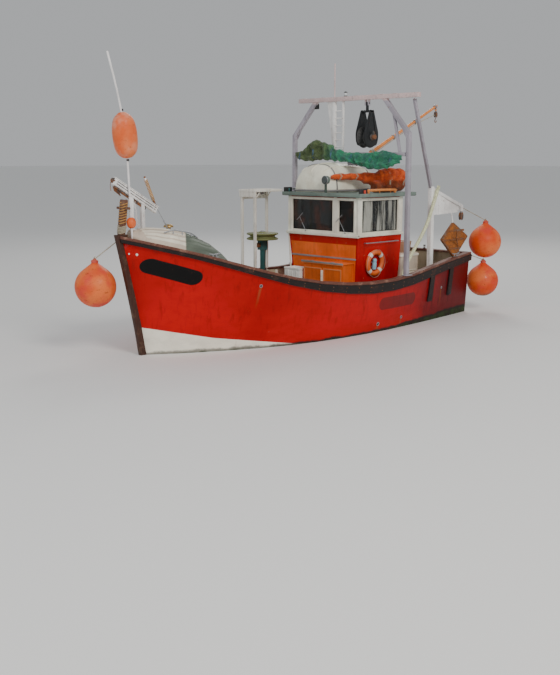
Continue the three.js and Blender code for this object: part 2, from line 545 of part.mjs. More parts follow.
// Power block under the top beam
const blockY = 560;
const hangZ = beamZ - 130;
const blockEye = join([box(frameX - 34, frameX + 34, blockY - 60, blockY - 36, hangZ - 50, beamZ - 40),
  box(frameX - 34, frameX + 34, blockY + 36, blockY + 60, hangZ - 50, beamZ - 40)])
  .subtract(bore([frameX, blockY - 100, hangZ], [frameX, blockY + 100, hangZ], 13));
const topBeam = box(frameX - 60, frameX + 60, -1620, 2060, beamZ - 50, beamZ + 50);
add('gantry_beam', join([topBeam, blockEye, rod([frameX, -470, beamZ + 40], [frameX, -470, 6120], 17, 10)]), 'lilac');
const sheaveZ = beamZ - 900;
const cheek = (y) => plate('y', [[frameX - 60, hangZ - 160], [frameX - 250, sheaveZ + 80], [frameX - 205, sheaveZ - 205],
  [frameX + 205, sheaveZ - 205], [frameX + 250, sheaveZ + 80], [frameX + 60, hangZ - 160]], y - 9, y + 9);
const hanger = join([box(frameX - 24, frameX + 24, blockY - 29, blockY + 29, hangZ - 200, hangZ + 24),
  rod([frameX, blockY - 68, hangZ], [frameX, blockY + 68, hangZ], 13, 12),
  box(frameX - 60, frameX + 60, blockY - 140, blockY + 140, hangZ - 210, hangZ - 160),
  cheek(blockY - 131), cheek(blockY + 131)])
  .subtract(bore([frameX, blockY - 300, sheaveZ], [frameX, blockY + 300, sheaveZ], 22));
add('power_block_frame', hanger, 'black');
const sheave = solid(turned([[0, -150], [22, -150], [22, -112], [252, -105], [115, -30], [115, 30], [252, 105],
  [22, 112], [22, 150], [0, 150]], 24).rotateX(-Math.PI / 2)).translate([frameX, blockY, sheaveZ]);
add('power_block_sheave', sheave, 'black');

// Landing boom on its gooseneck
const tip = [-5050, 0, 5250];
const heelZ = crossZ - 150;
const boomFoot = [pinX - 95, 0, heelZ];
add('gooseneck', join([rod([pinX, 0, crossZ - 275], [pinX, 0, crossZ - 25], 17, 14),
  box(pinX - 32, pinX + 32, -32, 32, heelZ - 62, heelZ + 62),
  box(pinX - 125, pinX - 20, -13, 13, heelZ - 28, heelZ + 28)])
  .subtract(bore([pinX - 95, -60, heelZ], [pinX - 95, 60, heelZ], 12)), 'steel');
const boom = join([rod(along(boomFoot, tip, 0.035), tip, 48, 12, 32),
  ...[-1, 1].map((s) => bar([boomFoot[0] - 6, s * 30, heelZ - 3], along([boomFoot[0], s * 30, heelZ],
    [tip[0], s * 30, tip[2]], 0.05), 60, 22)),
  rod([boomFoot[0], -45, heelZ], [boomFoot[0], 45, heelZ], 12, 12),
  box(tip[0] + 10, tip[0] + 60, -12, 12, tip[2] - 130, tip[2] - 10)]);
add('landing_boom', boom, 'orange');

// Net bundled over the cross beam
const netLine = [[frameX + 20, -1700, crossZ + 30], [frameX + 30, -1200, crossZ + 20], [frameX + 40, -700, crossZ + 60],
  [frameX + 40, -100, crossZ - 50], [frameX + 40, 560, crossZ - 90], [frameX + 30, 1100, crossZ - 40],
  [frameX + 30, 1690, crossZ - 20]];
const netFold = [[frameX + 60, -1640, crossZ - 120], [frameX + 70, -1050, crossZ - 40], [frameX + 80, -300, crossZ - 35],
  [frameX + 90, 200, crossZ - 120], [frameX + 90, 650, crossZ - 205], [frameX + 90, 1150, crossZ - 240],
  [frameX + 80, 1640, crossZ - 190]];
const netHump = [[frameX + 60, -1400, crossZ + 70], [frameX + 80, -950, crossZ + 230], [frameX + 60, -420, crossZ + 100]];
const nearFrame = join([crossBeam.translate([gap, 0, 0]), crossBeam.translate([0, 0, gap]),
  crossBeam.translate([0, 0, -gap]), legsClear, mast.translate([gap, 0, 0])]);
const netBody = join([tube(netLine, 150, 20, 9), tube(netFold, 130, 18, 8), tube(netHump, 125, 8, 8)])
  .subtract(nearFrame)
  .subtract(box(-2200, frameX + 45 + gap, -2000, 2000, 3000, 5000));
add('hung_net', netBody, 'green');

// Gallows at the quarters with the trawl doors lashed to them
const doorOf = (s, out = 0) => plate('y', [[545 + out, 45], [30, 440 + out], [-550 - out, 75], [50, -430 - out]],
  -27 - out, 27 + out).rotate([s * 5.4, 0, 0]).translate([-3950, s * 1462, 1890]);
const gallowsPost = (s, side) => bar([postX - 40, s * postHalf, 500], [postX, s * postHalf, 3230], side, side);
for (const [side, s] of [['port', 1], ['starboard', -1]]) {
  const y = s * postHalf;
  const gallows = join([gallowsPost(s, 110),
    bar([postX, y, 3180], [-4330, s * 1380, 2720], 70, 90),
    plate('y', [[postX - 10, 3130], [-4320, 2740], [-4190, 2570], [postX - 30, 2540]], s * 1355 - 6, s * 1355 + 6),
    box(-4370, -4290, s * 1380 - 30, s * 1380 + 30, 2600, 2740),
    bar([-3935, s * 1357, 2640], [-3925, s * 1424, 2290], 34, 18)]);
  add(`gallows_${side}`, standing(gallows.subtract(doorOf(s, gap))), 'paleGrey');
  add(`trawl_door_${side}`, standing(doorOf(s)), 'rust');
}
const strut = bar([-3100, postHalf, 3200], [frameX - 40, 1900, beamZ - 90], 70, 70);
add('gantry_strut', strut.subtract(join([gallowsPost(1, 112), gallowsPost(1, 112).translate([0, 0, 1]), bar([postX, postHalf, 3180], [-4330, 1380, 2720], 72, 92),
  box(frameX - 200, frameX + 200, 0, 2500, beamZ - 50.3, 6000)])), 'lilac');

// Fenders: two at the port quarter, one at the bow
const fenders = {
  quarter_high: [-5170, 1560, 1790, 410, [-4340, 1380, 2690]], quarter_low: [-5130, 1560, 790, 400, [-4680, 1300, 1520]],
  bow: [5300, -540, 1400, 410, [4840, -270, 2340]],
};
const arm = bar([postX, postHalf, 3180], [-4330, 1380, 2720], 70.6, 90.6).add(box(-4370.3, -4289.7, 1349.7, 1410.3,
  2599.7, 2740.3));
for (const [where, [x, y, z, r, tie]] of Object.entries(fenders)) {
  const shape = turned([[0, -r], [r * 0.5, -r * 0.87], [r * 0.87, -r * 0.5], [r, 0], [r * 0.9, r * 0.5],
    [r * 0.62, r * 0.9], [60, r * 1.17], [60, r * 1.3], [0, r * 1.3]], 24);
  const lanyard = rod([x, y, z + r * 1.25], tie, 12, 8);
  add(`fender_${where}`, standing(solid(shape).translate([x, y, z]).add(lanyard).subtract(arm)
    .subtract(grown(strakeBody))), 'buoy');
}

// Leaning spar, engine casing and basket aft
const sparPath = [[-1640, 1500, 380], [-1760, 1515, 1040], [-2160, 1505, 1640], [-2500, 1495, 2000],
  [-2820, 1470, 2380], [-3120, 1430, 2880], [-3290, 1428, 3240]];
add('leaning_spar', standing(tube(sparPath, 42, 16, 10)), 'paleGreen');
add('engine_casing', floorOf(box(-3000, -2330, 160, 1080, 400, 1640)), 'cream');
add('fish_basket', solid(turned([[0, 0], [165, 0], [205, 270], [185, 270], [150, 25], [0, 25]], 20))
  .translate([-2720, 820, 1640.3]), 'basket');

export default trawler;
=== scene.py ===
import json
import math

import bmesh
import bpy
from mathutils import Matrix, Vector, noise
from mathutils.bvhtree import BVHTree


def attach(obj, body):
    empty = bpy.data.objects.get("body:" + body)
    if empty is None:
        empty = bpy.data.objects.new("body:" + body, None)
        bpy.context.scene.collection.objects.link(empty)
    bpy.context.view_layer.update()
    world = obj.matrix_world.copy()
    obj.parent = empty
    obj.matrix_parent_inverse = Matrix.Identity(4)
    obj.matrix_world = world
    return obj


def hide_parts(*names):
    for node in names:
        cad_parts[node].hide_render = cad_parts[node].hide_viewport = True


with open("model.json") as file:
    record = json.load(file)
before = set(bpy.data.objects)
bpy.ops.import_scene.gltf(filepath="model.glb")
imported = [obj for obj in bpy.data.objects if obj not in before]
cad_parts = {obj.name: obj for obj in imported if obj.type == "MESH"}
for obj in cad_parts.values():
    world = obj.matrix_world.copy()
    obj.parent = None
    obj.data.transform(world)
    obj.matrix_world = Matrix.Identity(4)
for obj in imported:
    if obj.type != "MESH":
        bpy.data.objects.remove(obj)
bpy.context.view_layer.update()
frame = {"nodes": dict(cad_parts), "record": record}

nodes = frame["nodes"]
slotOf = {part["node"]: part["material_slot"] for part in frame["record"]["subparts"]}
bodyOf = {name: body for body, names in frame["record"]["behaviour"]["bodies"].items() for name in names}


def linked(name, data):
    made = bpy.data.objects.new(name, data)
    bpy.context.scene.collection.objects.link(made)
    return made


# camera, fitted to the picture
view = {"place": (15.800, 15.339, 3.890), "yaw": 3.935, "pitch": 0.186, "lens": 50.67}
cameraData = bpy.data.cameras.new("camera")
camera = linked("camera", cameraData)
camera.location = view["place"]
camera.rotation_euler = (math.pi / 2 - view["pitch"], 0, view["yaw"] - math.pi / 2)
cameraData.lens = view["lens"]
cameraData.sensor_width = 36
cameraData.sensor_fit = "AUTO"
cameraData.clip_end = 2000
bpy.context.scene.camera = camera


# shader maths: the outputs of nodes, added, multiplied and stepped like plain numbers
class Value:
    def __init__(self, shader, socket):
        self.shader = shader
        self.socket = socket

    def maths(self, operation, *others):
        inputs = dict(enumerate((self,) + others))
        return self.shader.node("ShaderNodeMath", {"operation": operation}, inputs)

    def __add__(self, other): return self.maths("ADD", other)
    def __radd__(self, other): return self.maths("ADD", other)
    def __sub__(self, other): return self.maths("SUBTRACT", other)
    def __mul__(self, other): return self.maths("MULTIPLY", other)
    def __rmul__(self, other): return self.maths("MULTIPLY", other)
    def __truediv__(self, other): return self.maths("DIVIDE", other)
    def __rsub__(self, other):
        return self.shader.node("ShaderNodeMath", {"operation": "SUBTRACT"}, {0: other, 1: self})

    def above(self, low, high):
        return self.shader.node("ShaderNodeMapRange", {"interpolation_type": "SMOOTHSTEP", "clamp": True},
                                {"Value": self, "From Min": low, "From Max": high})

    def below(self, low, high):
        return 1 - self.above(low, high)

    def size(self): return self.maths("ABSOLUTE")
    def most(self, other): return self.maths("MAXIMUM", other)
    def power(self, other): return self.maths("POWER", other)
    def wave(self): return self.maths("SINE")
    def part(self): return self.maths("FRACT")


# one finish's node tree, with shorthands for the nodes that the finishes share
class Shader:
    def __init__(self, name):
        self.material = bpy.data.materials.new(name)
        self.material.use_nodes = True
        self.tree = self.material.node_tree
        self.surface = self.tree.nodes["Principled BSDF"]
        self.place = self.node("ShaderNodeTexCoord", {}, {}, "Object")
        self.x, self.y, self.z = self.apart(self.place)
        self.relief = None

    def node(self, kind, settings, inputs, output=0):
        made = self.tree.nodes.new(kind)
        for key, value in settings.items():
            setattr(made, key, value)
        for key, value in inputs.items():
            if isinstance(value, Value):
                self.tree.links.new(value.socket, made.inputs[key])
            else:
                made.inputs[key].default_value = value
        return Value(self, made.outputs[output])

    def apart(self, vector):
        split = self.node("ShaderNodeSeparateXYZ", {}, {0: vector})
        return [Value(self, split.socket.node.outputs[i]) for i in range(3)]

    def normal(self):
        return self.apart(self.node("ShaderNodeNewGeometry", {}, {}, "True Normal"))

    def cloud(self, scale, detail=4, stretch=(1, 1, 1), rough=0.55, shift=(0, 0, 0)):
        at = self.node("ShaderNodeMapping", {}, {"Vector": self.place, "Scale": stretch, "Location": shift})
        return self.node("ShaderNodeTexNoise", {},
                         {"Vector": at, "Scale": scale, "Detail": detail, "Roughness": rough}, "Fac")

    def blend(self, share, first, second):
        def colour(c): return c if isinstance(c, Value) else (*c, 1)
        return self.node("ShaderNodeMix", {"data_type": "RGBA"},
                         {0: share, 6: colour(first), 7: colour(second)}, 2)

    def emboss(self, height):
        self.relief = height if self.relief is None else self.relief + height

    def finish(self, colour, rough, metal=0.0, **more):
        def put(key, value):
            if isinstance(value, Value):
                self.tree.links.new(value.socket, self.surface.inputs[key])
            elif key == "Base Color":
                self.surface.inputs[key].default_value = (*value, 1)
            else:
                self.surface.inputs[key].default_value = value
        put("Base Color", colour)
        put("Roughness", rough)
        put("Metallic", metal)
        for key, value in more.items():
            put(key.replace("_", " "), value)
        if self.relief is not None:
            put("Normal", self.node("ShaderNodeBump", {},
                                    {"Height": self.relief, "Distance": 1.0, "Strength": 1.0}, "Normal"))
        return self.material


# tones that several finishes share
rustDark = (0.075, 0.024, 0.010)
rustLight = (0.30, 0.105, 0.030)
grime = (0.035, 0.030, 0.024)


def tint(colour, by):
    return tuple(min(1, c * by) for c in colour)


# brushed marine paint: colour drift, brush relief, dirt runs, chips down to rusty metal or bare wood
def paintLook(name, colour, rough, rust, runs, dirt, under=rustLight, head=None, corners=None):
    s = Shader(name)
    drift = s.cloud(1.7, 3)
    fine = s.cloud(22, 5, rough=0.65)
    base = s.blend(drift.above(0.3, 0.72), tint(colour, 0.80), tint(colour, 1.14))
    if head:
        low, high, tone = head
        base = s.blend(s.z.above(low, high), base, s.blend(drift.above(0.3, 0.72), tint(tone, 0.85), tone))
    base = s.blend(fine.above(0.35, 0.75) * 0.35, base, tint(colour, 0.86))
    run = s.cloud(1.0, 5, (16, 16, 0.9), 0.6, (3.1, 0.4, 0))
    patch = s.cloud(2.3, 4, shift=(5, 2, 1))
    wet = run.above(0.50, 0.72) * patch.above(0.38, 0.62) * runs
    base = s.blend(wet, base, tint(colour, 0.42))
    if corners:
        slant, start, tone = corners
        aft = (s.x - s.y.size() * slant + fine * 0.02).below(start, start + 0.03) * s.x.above(2.5, 2.6)
        base = s.blend(aft, base, s.blend(patch.above(0.35, 0.65), tint(tone, 0.72), tone))
    smear = s.cloud(5.5, 6, rough=0.7, shift=(9, 4, 7)).above(0.52, 0.80) * dirt
    base = s.blend(smear, base, grime)
    flaking = s.cloud(13, 8, rough=0.72, shift=(1, 8, 3))
    chips = flaking.above(0.655 - 0.05 * rust, 0.70 - 0.05 * rust)
    chips = chips * s.cloud(1.9, 2, shift=(2, 2, 9)).above(0.42, 0.60) * min(1, 2 * rust)
    halo = flaking.above(0.57, 0.69) * rust * patch.above(0.40, 0.62)
    base = s.blend(halo, base, tint(under, 0.75))
    base = s.blend(chips, base, under)
    s.emboss(fine * 0.00025 + s.cloud(70, 2, (1, 1, 0.15)) * 0.00015 - chips * 0.0004)
    return s.finish(base, rough + smear * 0.25 + chips * 0.35 + wet * 0.08, Specular_IOR_Level=0.30)


# timber: long grain along one axis, worn paint or tar on top
def woodLook(name, colour, grain, rough, worn, bare=(0.33, 0.22, 0.13)):
    s = Shader(name)
    fibre = s.cloud(7, 8, grain, 0.68)
    ring = (s.cloud(2.2, 3, grain) * 46).wave()
    base = s.blend(fibre.above(0.32, 0.70), tint(colour, 0.60), tint(colour, 1.35))
    base = s.blend(ring.above(0.3, 1.0) * 0.35, base, tint(colour, 0.55))
    rub = s.cloud(4.2, 7, rough=0.72, shift=(4, 4, 1)).above(0.56 - 0.08 * worn, 0.70)
    base = s.blend(rub * worn, base, bare)
    crack = s.cloud(16, 6, grain, 0.8, (7, 1, 2)).above(0.66, 0.74)
    base = s.blend(crack * 0.8, base, tint(colour, 0.25))
    s.emboss(fibre * 0.0011 + ring * 0.00012 - crack * 0.0012)
    return s.finish(base, rough + rub * 0.12 - fibre * 0.08, Specular_IOR_Level=0.35)


# bare or rusting metal
def metalLook(name, colour, rough, rust, metal, pit=0.0002, flakes=(rustDark, rustLight)):
    s = Shader(name)
    grainy = s.cloud(38, 6, rough=0.7)
    patch = s.cloud(4.5, 7, rough=0.72, shift=(2, 6, 3))
    rusty = patch.above(0.62 - 0.30 * rust, 0.78 - 0.30 * rust)
    base = s.blend(grainy.above(0.3, 0.7), tint(colour, 0.75), tint(colour, 1.2))
    flake = s.blend((grainy * 0.6 + patch * 0.5).above(0.42, 0.64), *flakes)
    base = s.blend(rusty, base, flake)
    s.emboss(grainy * pit + rusty * grainy * 0.0008)
    return s.finish(base, rough + rusty * (0.85 - rough) + grainy * 0.08, (1 - rusty) * metal)


# moulded or inflated vinyl, rubber
def plasticLook(name, colour, rough, fade, scuff, gloss=0.0):
    s = Shader(name)
    drift = s.cloud(2.8, 4)
    base = s.blend(drift.above(0.3, 0.7), tint(colour, 0.82), tint(colour, 1.12))
    chalk = tuple(c * 0.55 + 0.42 for c in colour)
    sun = s.cloud(3.1, 5, shift=(1, 2, 3)).above(0.42, 0.75) * fade
    base = s.blend(sun * 0.45, base, chalk)
    scrape = s.cloud(9, 8, (1, 1, 3), 0.72, (5, 1, 7)).above(0.585, 0.70) * scuff
    base = s.blend(scrape * 0.75, base, tint(colour, 0.30))
    weed = s.cloud(2.0, 6, (1, 1, 1.6), 0.7, (0, 7, 2)).above(0.60, 0.78) * scuff
    base = s.blend(weed * 0.6, base, (0.10, 0.09, 0.05))
    s.emboss(s.cloud(90, 3) * 0.00012 - scrape * 0.00035)
    return s.finish(base, rough + scrape * 0.3 + sun * 0.12, Coat_Weight=gloss)


# knotted or laid fibre: fine twist across the strand
def fibreLook(name, colour, other, rough=0.9, pitch=210, secondTone=None):
    s = Shader(name)
    strand = ((s.x + s.y * 0.7 + s.z * 1.3) * pitch).wave()
    mixed = s.cloud(7, 6, rough=0.7)
    base = s.blend(mixed.above(0.36, 0.66), colour, other)
    # a second tone past a height or to one side of the piece
    if secondTone:
        axis, low, high, tone = secondTone
        along = s.y if axis == "y" else s.z
        base = s.blend((along + mixed * 0.5).below(low, high), base,
                       s.blend(mixed.above(0.4, 0.6), tone, tint(tone, 0.55)))
    base = s.blend(strand.above(-0.2, 1.0) * 0.35, base, tint(colour, 0.35))
    base = s.blend(s.cloud(3.2, 5, shift=(3, 9, 1)).above(0.56, 0.74) * 0.5, base, (0.045, 0.040, 0.028))
    s.emboss(strand * 0.0006 + s.cloud(160, 3) * 0.0008)
    return s.finish(base, rough, Sheen_Weight=0.25, Specular_IOR_Level=0.2)


# outlets along each side: place, height, radius
outlets = [(2.69, 1.36, 0.024), (-0.75, 0.19, 0.034), (-1.62, 0.25, 0.026), (-3.30, 0.78, 0.020)]

# the hull's marks: the boot-top's line (start, slope, kick, its slope), tones (deep is painted shade: the red
# drawn darker towards the stern), and two blank panels (x, z, length, height, lean)
hullMarks = {
    "bootLine": (1.50, 0.150, 3.4, 0.072), "boardWidth": 0.105, "strakeWidth": 0.155,
    "red": (0.52, 0.002, 0.003), "deep": (0.085, 0.004, 0.006), "boot": (0.98, 0.94, 0.80),
    "black": (0.004, 0.004, 0.004), "stain": (0.022, 0.018, 0.014), "weed": (0.035, 0.050, 0.018),
    "bottom": (0.075, 0.018, 0.015), "inside": (0.50, 0.43, 0.30), "deck": (0.24, 0.20, 0.15),
    "bow": (4.27, 1.70, 1.02, 0.30, 0.345), "quarter": (-1.40, 0.655, 1.42, 0.29, -0.005),
}


# hull: painted outside, lining and deck boards inside, told apart by a face's place and direction
def hullLook(name):
    m = hullMarks
    s = Shader(name)
    nx, ny, nz = s.normal()
    side = s.y / (s.y.size() + 0.0001)
    inside = (ny * side * -1).above(0.15, 0.3)
    inside = inside.most(nz.above(0.55, 0.7) * s.z.above(0.2, 0.25))
    inside = inside.most((nx * s.x * -1).above(0.5, 0.6) * s.x.size().above(2.9, 3.0))
    # outside paint
    broad = s.cloud(0.55, 4, (1, 1, 1.6))
    fine = s.cloud(9, 7, (0.5, 0.5, 1), 0.7)
    red = s.blend(broad.above(0.30, 0.70), tint(m["red"], 0.82), tint(m["red"], 1.15))
    red = s.blend(fine.above(0.42, 0.72) * 0.30, red, tint(m["red"], 0.66))
    # painted shade: towards the stern the red is darkened to deep maroon, and the dirt runs below are drawn
    # stronger there
    aft = (s.x + s.cloud(1.3, 6, (1, 1, 0.6), 0.65) * 2.2).below(-2.3, -0.1)
    red = s.blend(aft * 0.86, red, m["deep"])
    wash = s.cloud(1.0, 6, (11, 11, 0.55), 0.62, (1, 5, 2))
    streaks = wash.above(0.50, 0.70) * (s.z + broad * 0.5).above(0.15, 1.1)
    red = s.blend(streaks * (0.30 + aft * 0.55), red, (0.050, 0.010, 0.009))
    rusty = s.cloud(1.0, 6, (24, 24, 0.9), 0.7, (8, 1, 4)).above(0.62, 0.72)
    rusty = rusty * s.cloud(0.9, 3, shift=(4, 4, 4)).above(0.50, 0.62)
    for x, z, r in outlets:
        drop = z - s.z
        run = (s.x - x + (fine - 0.5) * 0.05).size().below(r * 0.3, r * 1.5)
        rusty = rusty.most(run * drop.above(-0.02, 0.02) * drop.below(0.06, 0.55) * 0.9)
    red = s.blend(rusty * 0.65, red, rustLight)
    scrape = s.cloud(6, 9, (0.35, 0.35, 2.2), 0.74, (2, 7, 9)).above(0.655, 0.70)
    scrape = scrape * (s.z + fine * 0.3).below(0.35, 0.95)
    red = s.blend(scrape * 0.7, red, (0.36, 0.22, 0.17))
    # boot-top wedge at the bow
    start, slope, kick, kickSlope = m["bootLine"]
    bootTop = (s.x - start) * slope + (s.x - kick).most(0.0) * kickSlope + fine * 0.016
    boot = (bootTop - s.z).above(-0.004, 0.004) * s.x.above(1.2, 1.5)
    cream = s.blend(s.cloud(3.2, 6, (1, 1, 2)).above(0.40, 0.75), m["boot"], tint(m["boot"], 0.86))
    cream = s.blend(s.cloud(8, 7, (1, 1, 0.3), 0.7, (3, 3, 3)).above(0.56, 0.74) * 0.35, cream,
                    (0.36, 0.30, 0.20))
    paint = s.blend(boot, red, cream)
    # water stain and weed, antifouling below
    edge = s.z - (s.cloud(2.4, 7, rough=0.7) - 0.5) * 0.16 - (s.x * -1).above(0.4, 4.6) * 0.15
    paint = s.blend(edge.below(0.03, 0.085) * (0.70 + s.x.below(1.0, 3.2) * 0.28), paint, m["stain"])
    paint = s.blend(edge.below(-0.02, 0.035) * s.cloud(5, 5).above(0.35, 0.6), paint, m["weed"])
    paint = s.blend(s.z.below(-0.05, -0.03), paint,
                    s.blend(s.cloud(2.5, 8, rough=0.75).above(0.45, 0.62), m["bottom"], m["weed"]))

    # blank panels with round ends, lying along the sheer
    def panel(mark, wobble):
        x0, z0, long, high, lean = mark
        dx = s.x - x0
        dz = s.z - z0
        along = dx * math.cos(lean) + dz * math.sin(lean)
        across = dz * math.cos(lean) - dx * math.sin(lean)
        reach = (along.size() - (long / 2 - high / 2)).most(0.0)
        far = (reach.power(2.0) + across.power(2.0)).power(0.5) + (fine - 0.5) * wobble
        return far.below(high / 2 - 0.004, high / 2 + 0.004)
    bow = panel(m["bow"], 0.010)
    worn = s.cloud(14, 8, rough=0.74, shift=(6, 1, 1)).above(0.60, 0.68)
    black = s.blend(worn * 0.35, m["black"], (0.11, 0.035, 0.03))
    paint = s.blend(bow, paint, black)
    quarter = panel(m["quarter"], 0.03)
    paint = s.blend(quarter * (0.62 - worn * 0.3), paint, (0.050, 0.016, 0.014))
    # inside of the bulwark and the deck boards
    deckUp = nz.above(0.7, 0.8)
    board = (s.y / m["boardWidth"]).part()
    seam = (board - 0.5).size().above(0.455, 0.485)
    wood = s.cloud(6, 8, (0.35, 7, 7), 0.7)
    deck = s.blend(wood.above(0.34, 0.68), tint(m["deck"], 0.66), tint(m["deck"], 1.35))
    deck = s.blend(s.cloud(1.4, 6, rough=0.7).above(0.45, 0.66) * 0.6, deck, (0.075, 0.060, 0.045))
    deck = s.blend(seam, deck, (0.02, 0.018, 0.016))
    lining = s.blend(s.cloud(2.2, 6, (1, 1, 0.4), 0.65).above(0.42, 0.70), m["inside"],
                     tint(m["inside"], 0.52))
    lining = s.blend(s.cloud(11, 8, rough=0.75).above(0.60, 0.68), lining, (0.14, 0.07, 0.04))
    colour = s.blend(inside, paint, s.blend(deckUp, lining, deck))
    # relief: strakes of planking under the paint, brush marks
    strake = ((s.z - s.x * s.x * 0.030) / m["strakeWidth"]).part()
    joint = (strake - 0.5).size().above(0.47, 0.495) * (1 - inside)
    s.emboss(fine * 0.0007 - joint * 0.0009 - seam * deckUp * 0.003 + wash * 0.0004)
    rough = 0.26 + fine * 0.16 + aft * 0.14 + streaks * 0.10 + rusty * 0.3 + boot * 0.12 + bow * 0.10
    rough = rough + inside * 0.34 + edge.below(0.0, 0.1) * 0.2
    return s.finish(colour, rough, Coat_Weight=0.03, Coat_Roughness=0.2, Specular_IOR_Level=0.16)


# walls: painted outside, boarded and cream inside
def wallLook(name, colour, top=None):
    s = Shader(name)
    nx, ny = s.normal()[:2]
    middle = s.x + 1.5
    inward = (nx * middle * 1.3 + ny * s.y * 1.4).below(-0.35, -0.15)
    drift = s.cloud(1.5, 4)
    fine = s.cloud(24, 6, rough=0.68)
    base = s.blend(drift.above(0.3, 0.7), tint(colour, 0.78), tint(colour, 1.15))
    if top:
        base = s.blend((s.z + fine * 0.01).above(1.93, 1.945), base, top)
    run = s.cloud(1.0, 6, (15, 15, 0.8), 0.62, (2, 4, 1))
    base = s.blend(run.above(0.50, 0.70) * 0.35, base, tint(colour, 0.42))
    low = (s.z + drift * 0.5).below(0.75, 1.25)
    base = s.blend(low * 0.55, base, tint(colour, 0.40))
    chips = s.cloud(12, 8, rough=0.74, shift=(3, 1, 6)).above(0.63, 0.67) * s.cloud(1.8, 2).above(0.45, 0.6)
    base = s.blend(chips, base, (0.42, 0.33, 0.24))
    boards = ((s.y + s.x) / 0.12).part()
    groove = (boards - 0.5).size().above(0.46, 0.49) * inward
    lining = s.blend(drift.above(0.3, 0.7), (0.120, 0.050, 0.030), (0.190, 0.090, 0.055))
    base = s.blend(inward, base, s.blend(groove, lining, (0.06, 0.03, 0.02)))
    s.emboss(fine * 0.0003 - chips * 0.0005 - groove * 0.002)
    return s.finish(base, 0.34 + fine * 0.14 + chips * 0.3 + low * 0.18 + inward * 0.2,
                    Specular_IOR_Level=0.18)


# salty window glass: pale streaks on the side panes, a warm reflection in the front ones
def glassLook(name):
    s = Shader(name)
    across = s.normal()[1].size().above(0.5, 0.8)
    salt = s.cloud(3.4, 7, (1, 1, 0.5), 0.7).above(0.52, 0.85)
    streak = s.cloud(1.0, 6, (9, 9, 0.6), 0.65, (2, 2, 8)).above(0.44, 0.60) * across
    warm = s.cloud(1.0, 4, (1, 3.2, 2.6), 0.6, (6, 3, 1)).above(0.46, 0.62) * (1 - across)
    dark = s.blend(warm, (0.010, 0.013, 0.013), (0.085, 0.030, 0.018))
    colour = s.blend(salt * 0.22 + streak * 0.72, dark, (0.62, 0.62, 0.55))
    return s.finish(colour, 0.05 + salt * 0.22 + streak * 0.25 + warm * 0.1,
                    Alpha=0.56 + salt * 0.10 + streak * 0.28 + warm * 0.1, Specular_IOR_Level=0.45)


# blown vinyl float: pale peach and pink patches, partly sun bleaching and partly painted highlights, weed at
# the waterline
def floatLook(name, colour, bleachAndHighlight, pink):
    s = Shader(name)
    # painted highlight and sun bleaching together: noise patches lighten the vinyl to the pale tone
    sun = s.cloud(1.5, 3, shift=(3, 1, 2))
    base = s.blend(sun.above(0.38, 0.62), colour, bleachAndHighlight)
    base = s.blend(s.cloud(2.1, 3, shift=(7, 5, 3)).above(0.48, 0.66) * 0.85, base, pink)
    scrape = s.cloud(8, 8, (1, 1, 2.5), 0.72, (5, 1, 7)).above(0.575, 0.68)
    base = s.blend(scrape * 0.6, base, tint(colour, 0.35))
    crazed = s.cloud(30, 6, rough=0.7)
    base = s.blend(crazed.above(0.45, 0.75) * 0.25, base, tint(colour, 0.60))
    weed = (s.z + s.cloud(4, 6, rough=0.7) * 0.25).below(0.50, 0.66)
    base = s.blend(weed * 0.8, base, (0.090, 0.110, 0.035))
    s.emboss(s.cloud(90, 3) * 0.00012 - scrape * 0.00035 + crazed * 0.0002)
    return s.finish(base, 0.40 + scrape * 0.25 + sun * 0.12, Coat_Weight=0.03, Specular_IOR_Level=0.25)


# the foredeck's after corners, beside the cream crown, are grey-green: slant, start on the centreline, tone
foredeckCorners = (0.78, 3.44, (0.150, 0.180, 0.140))

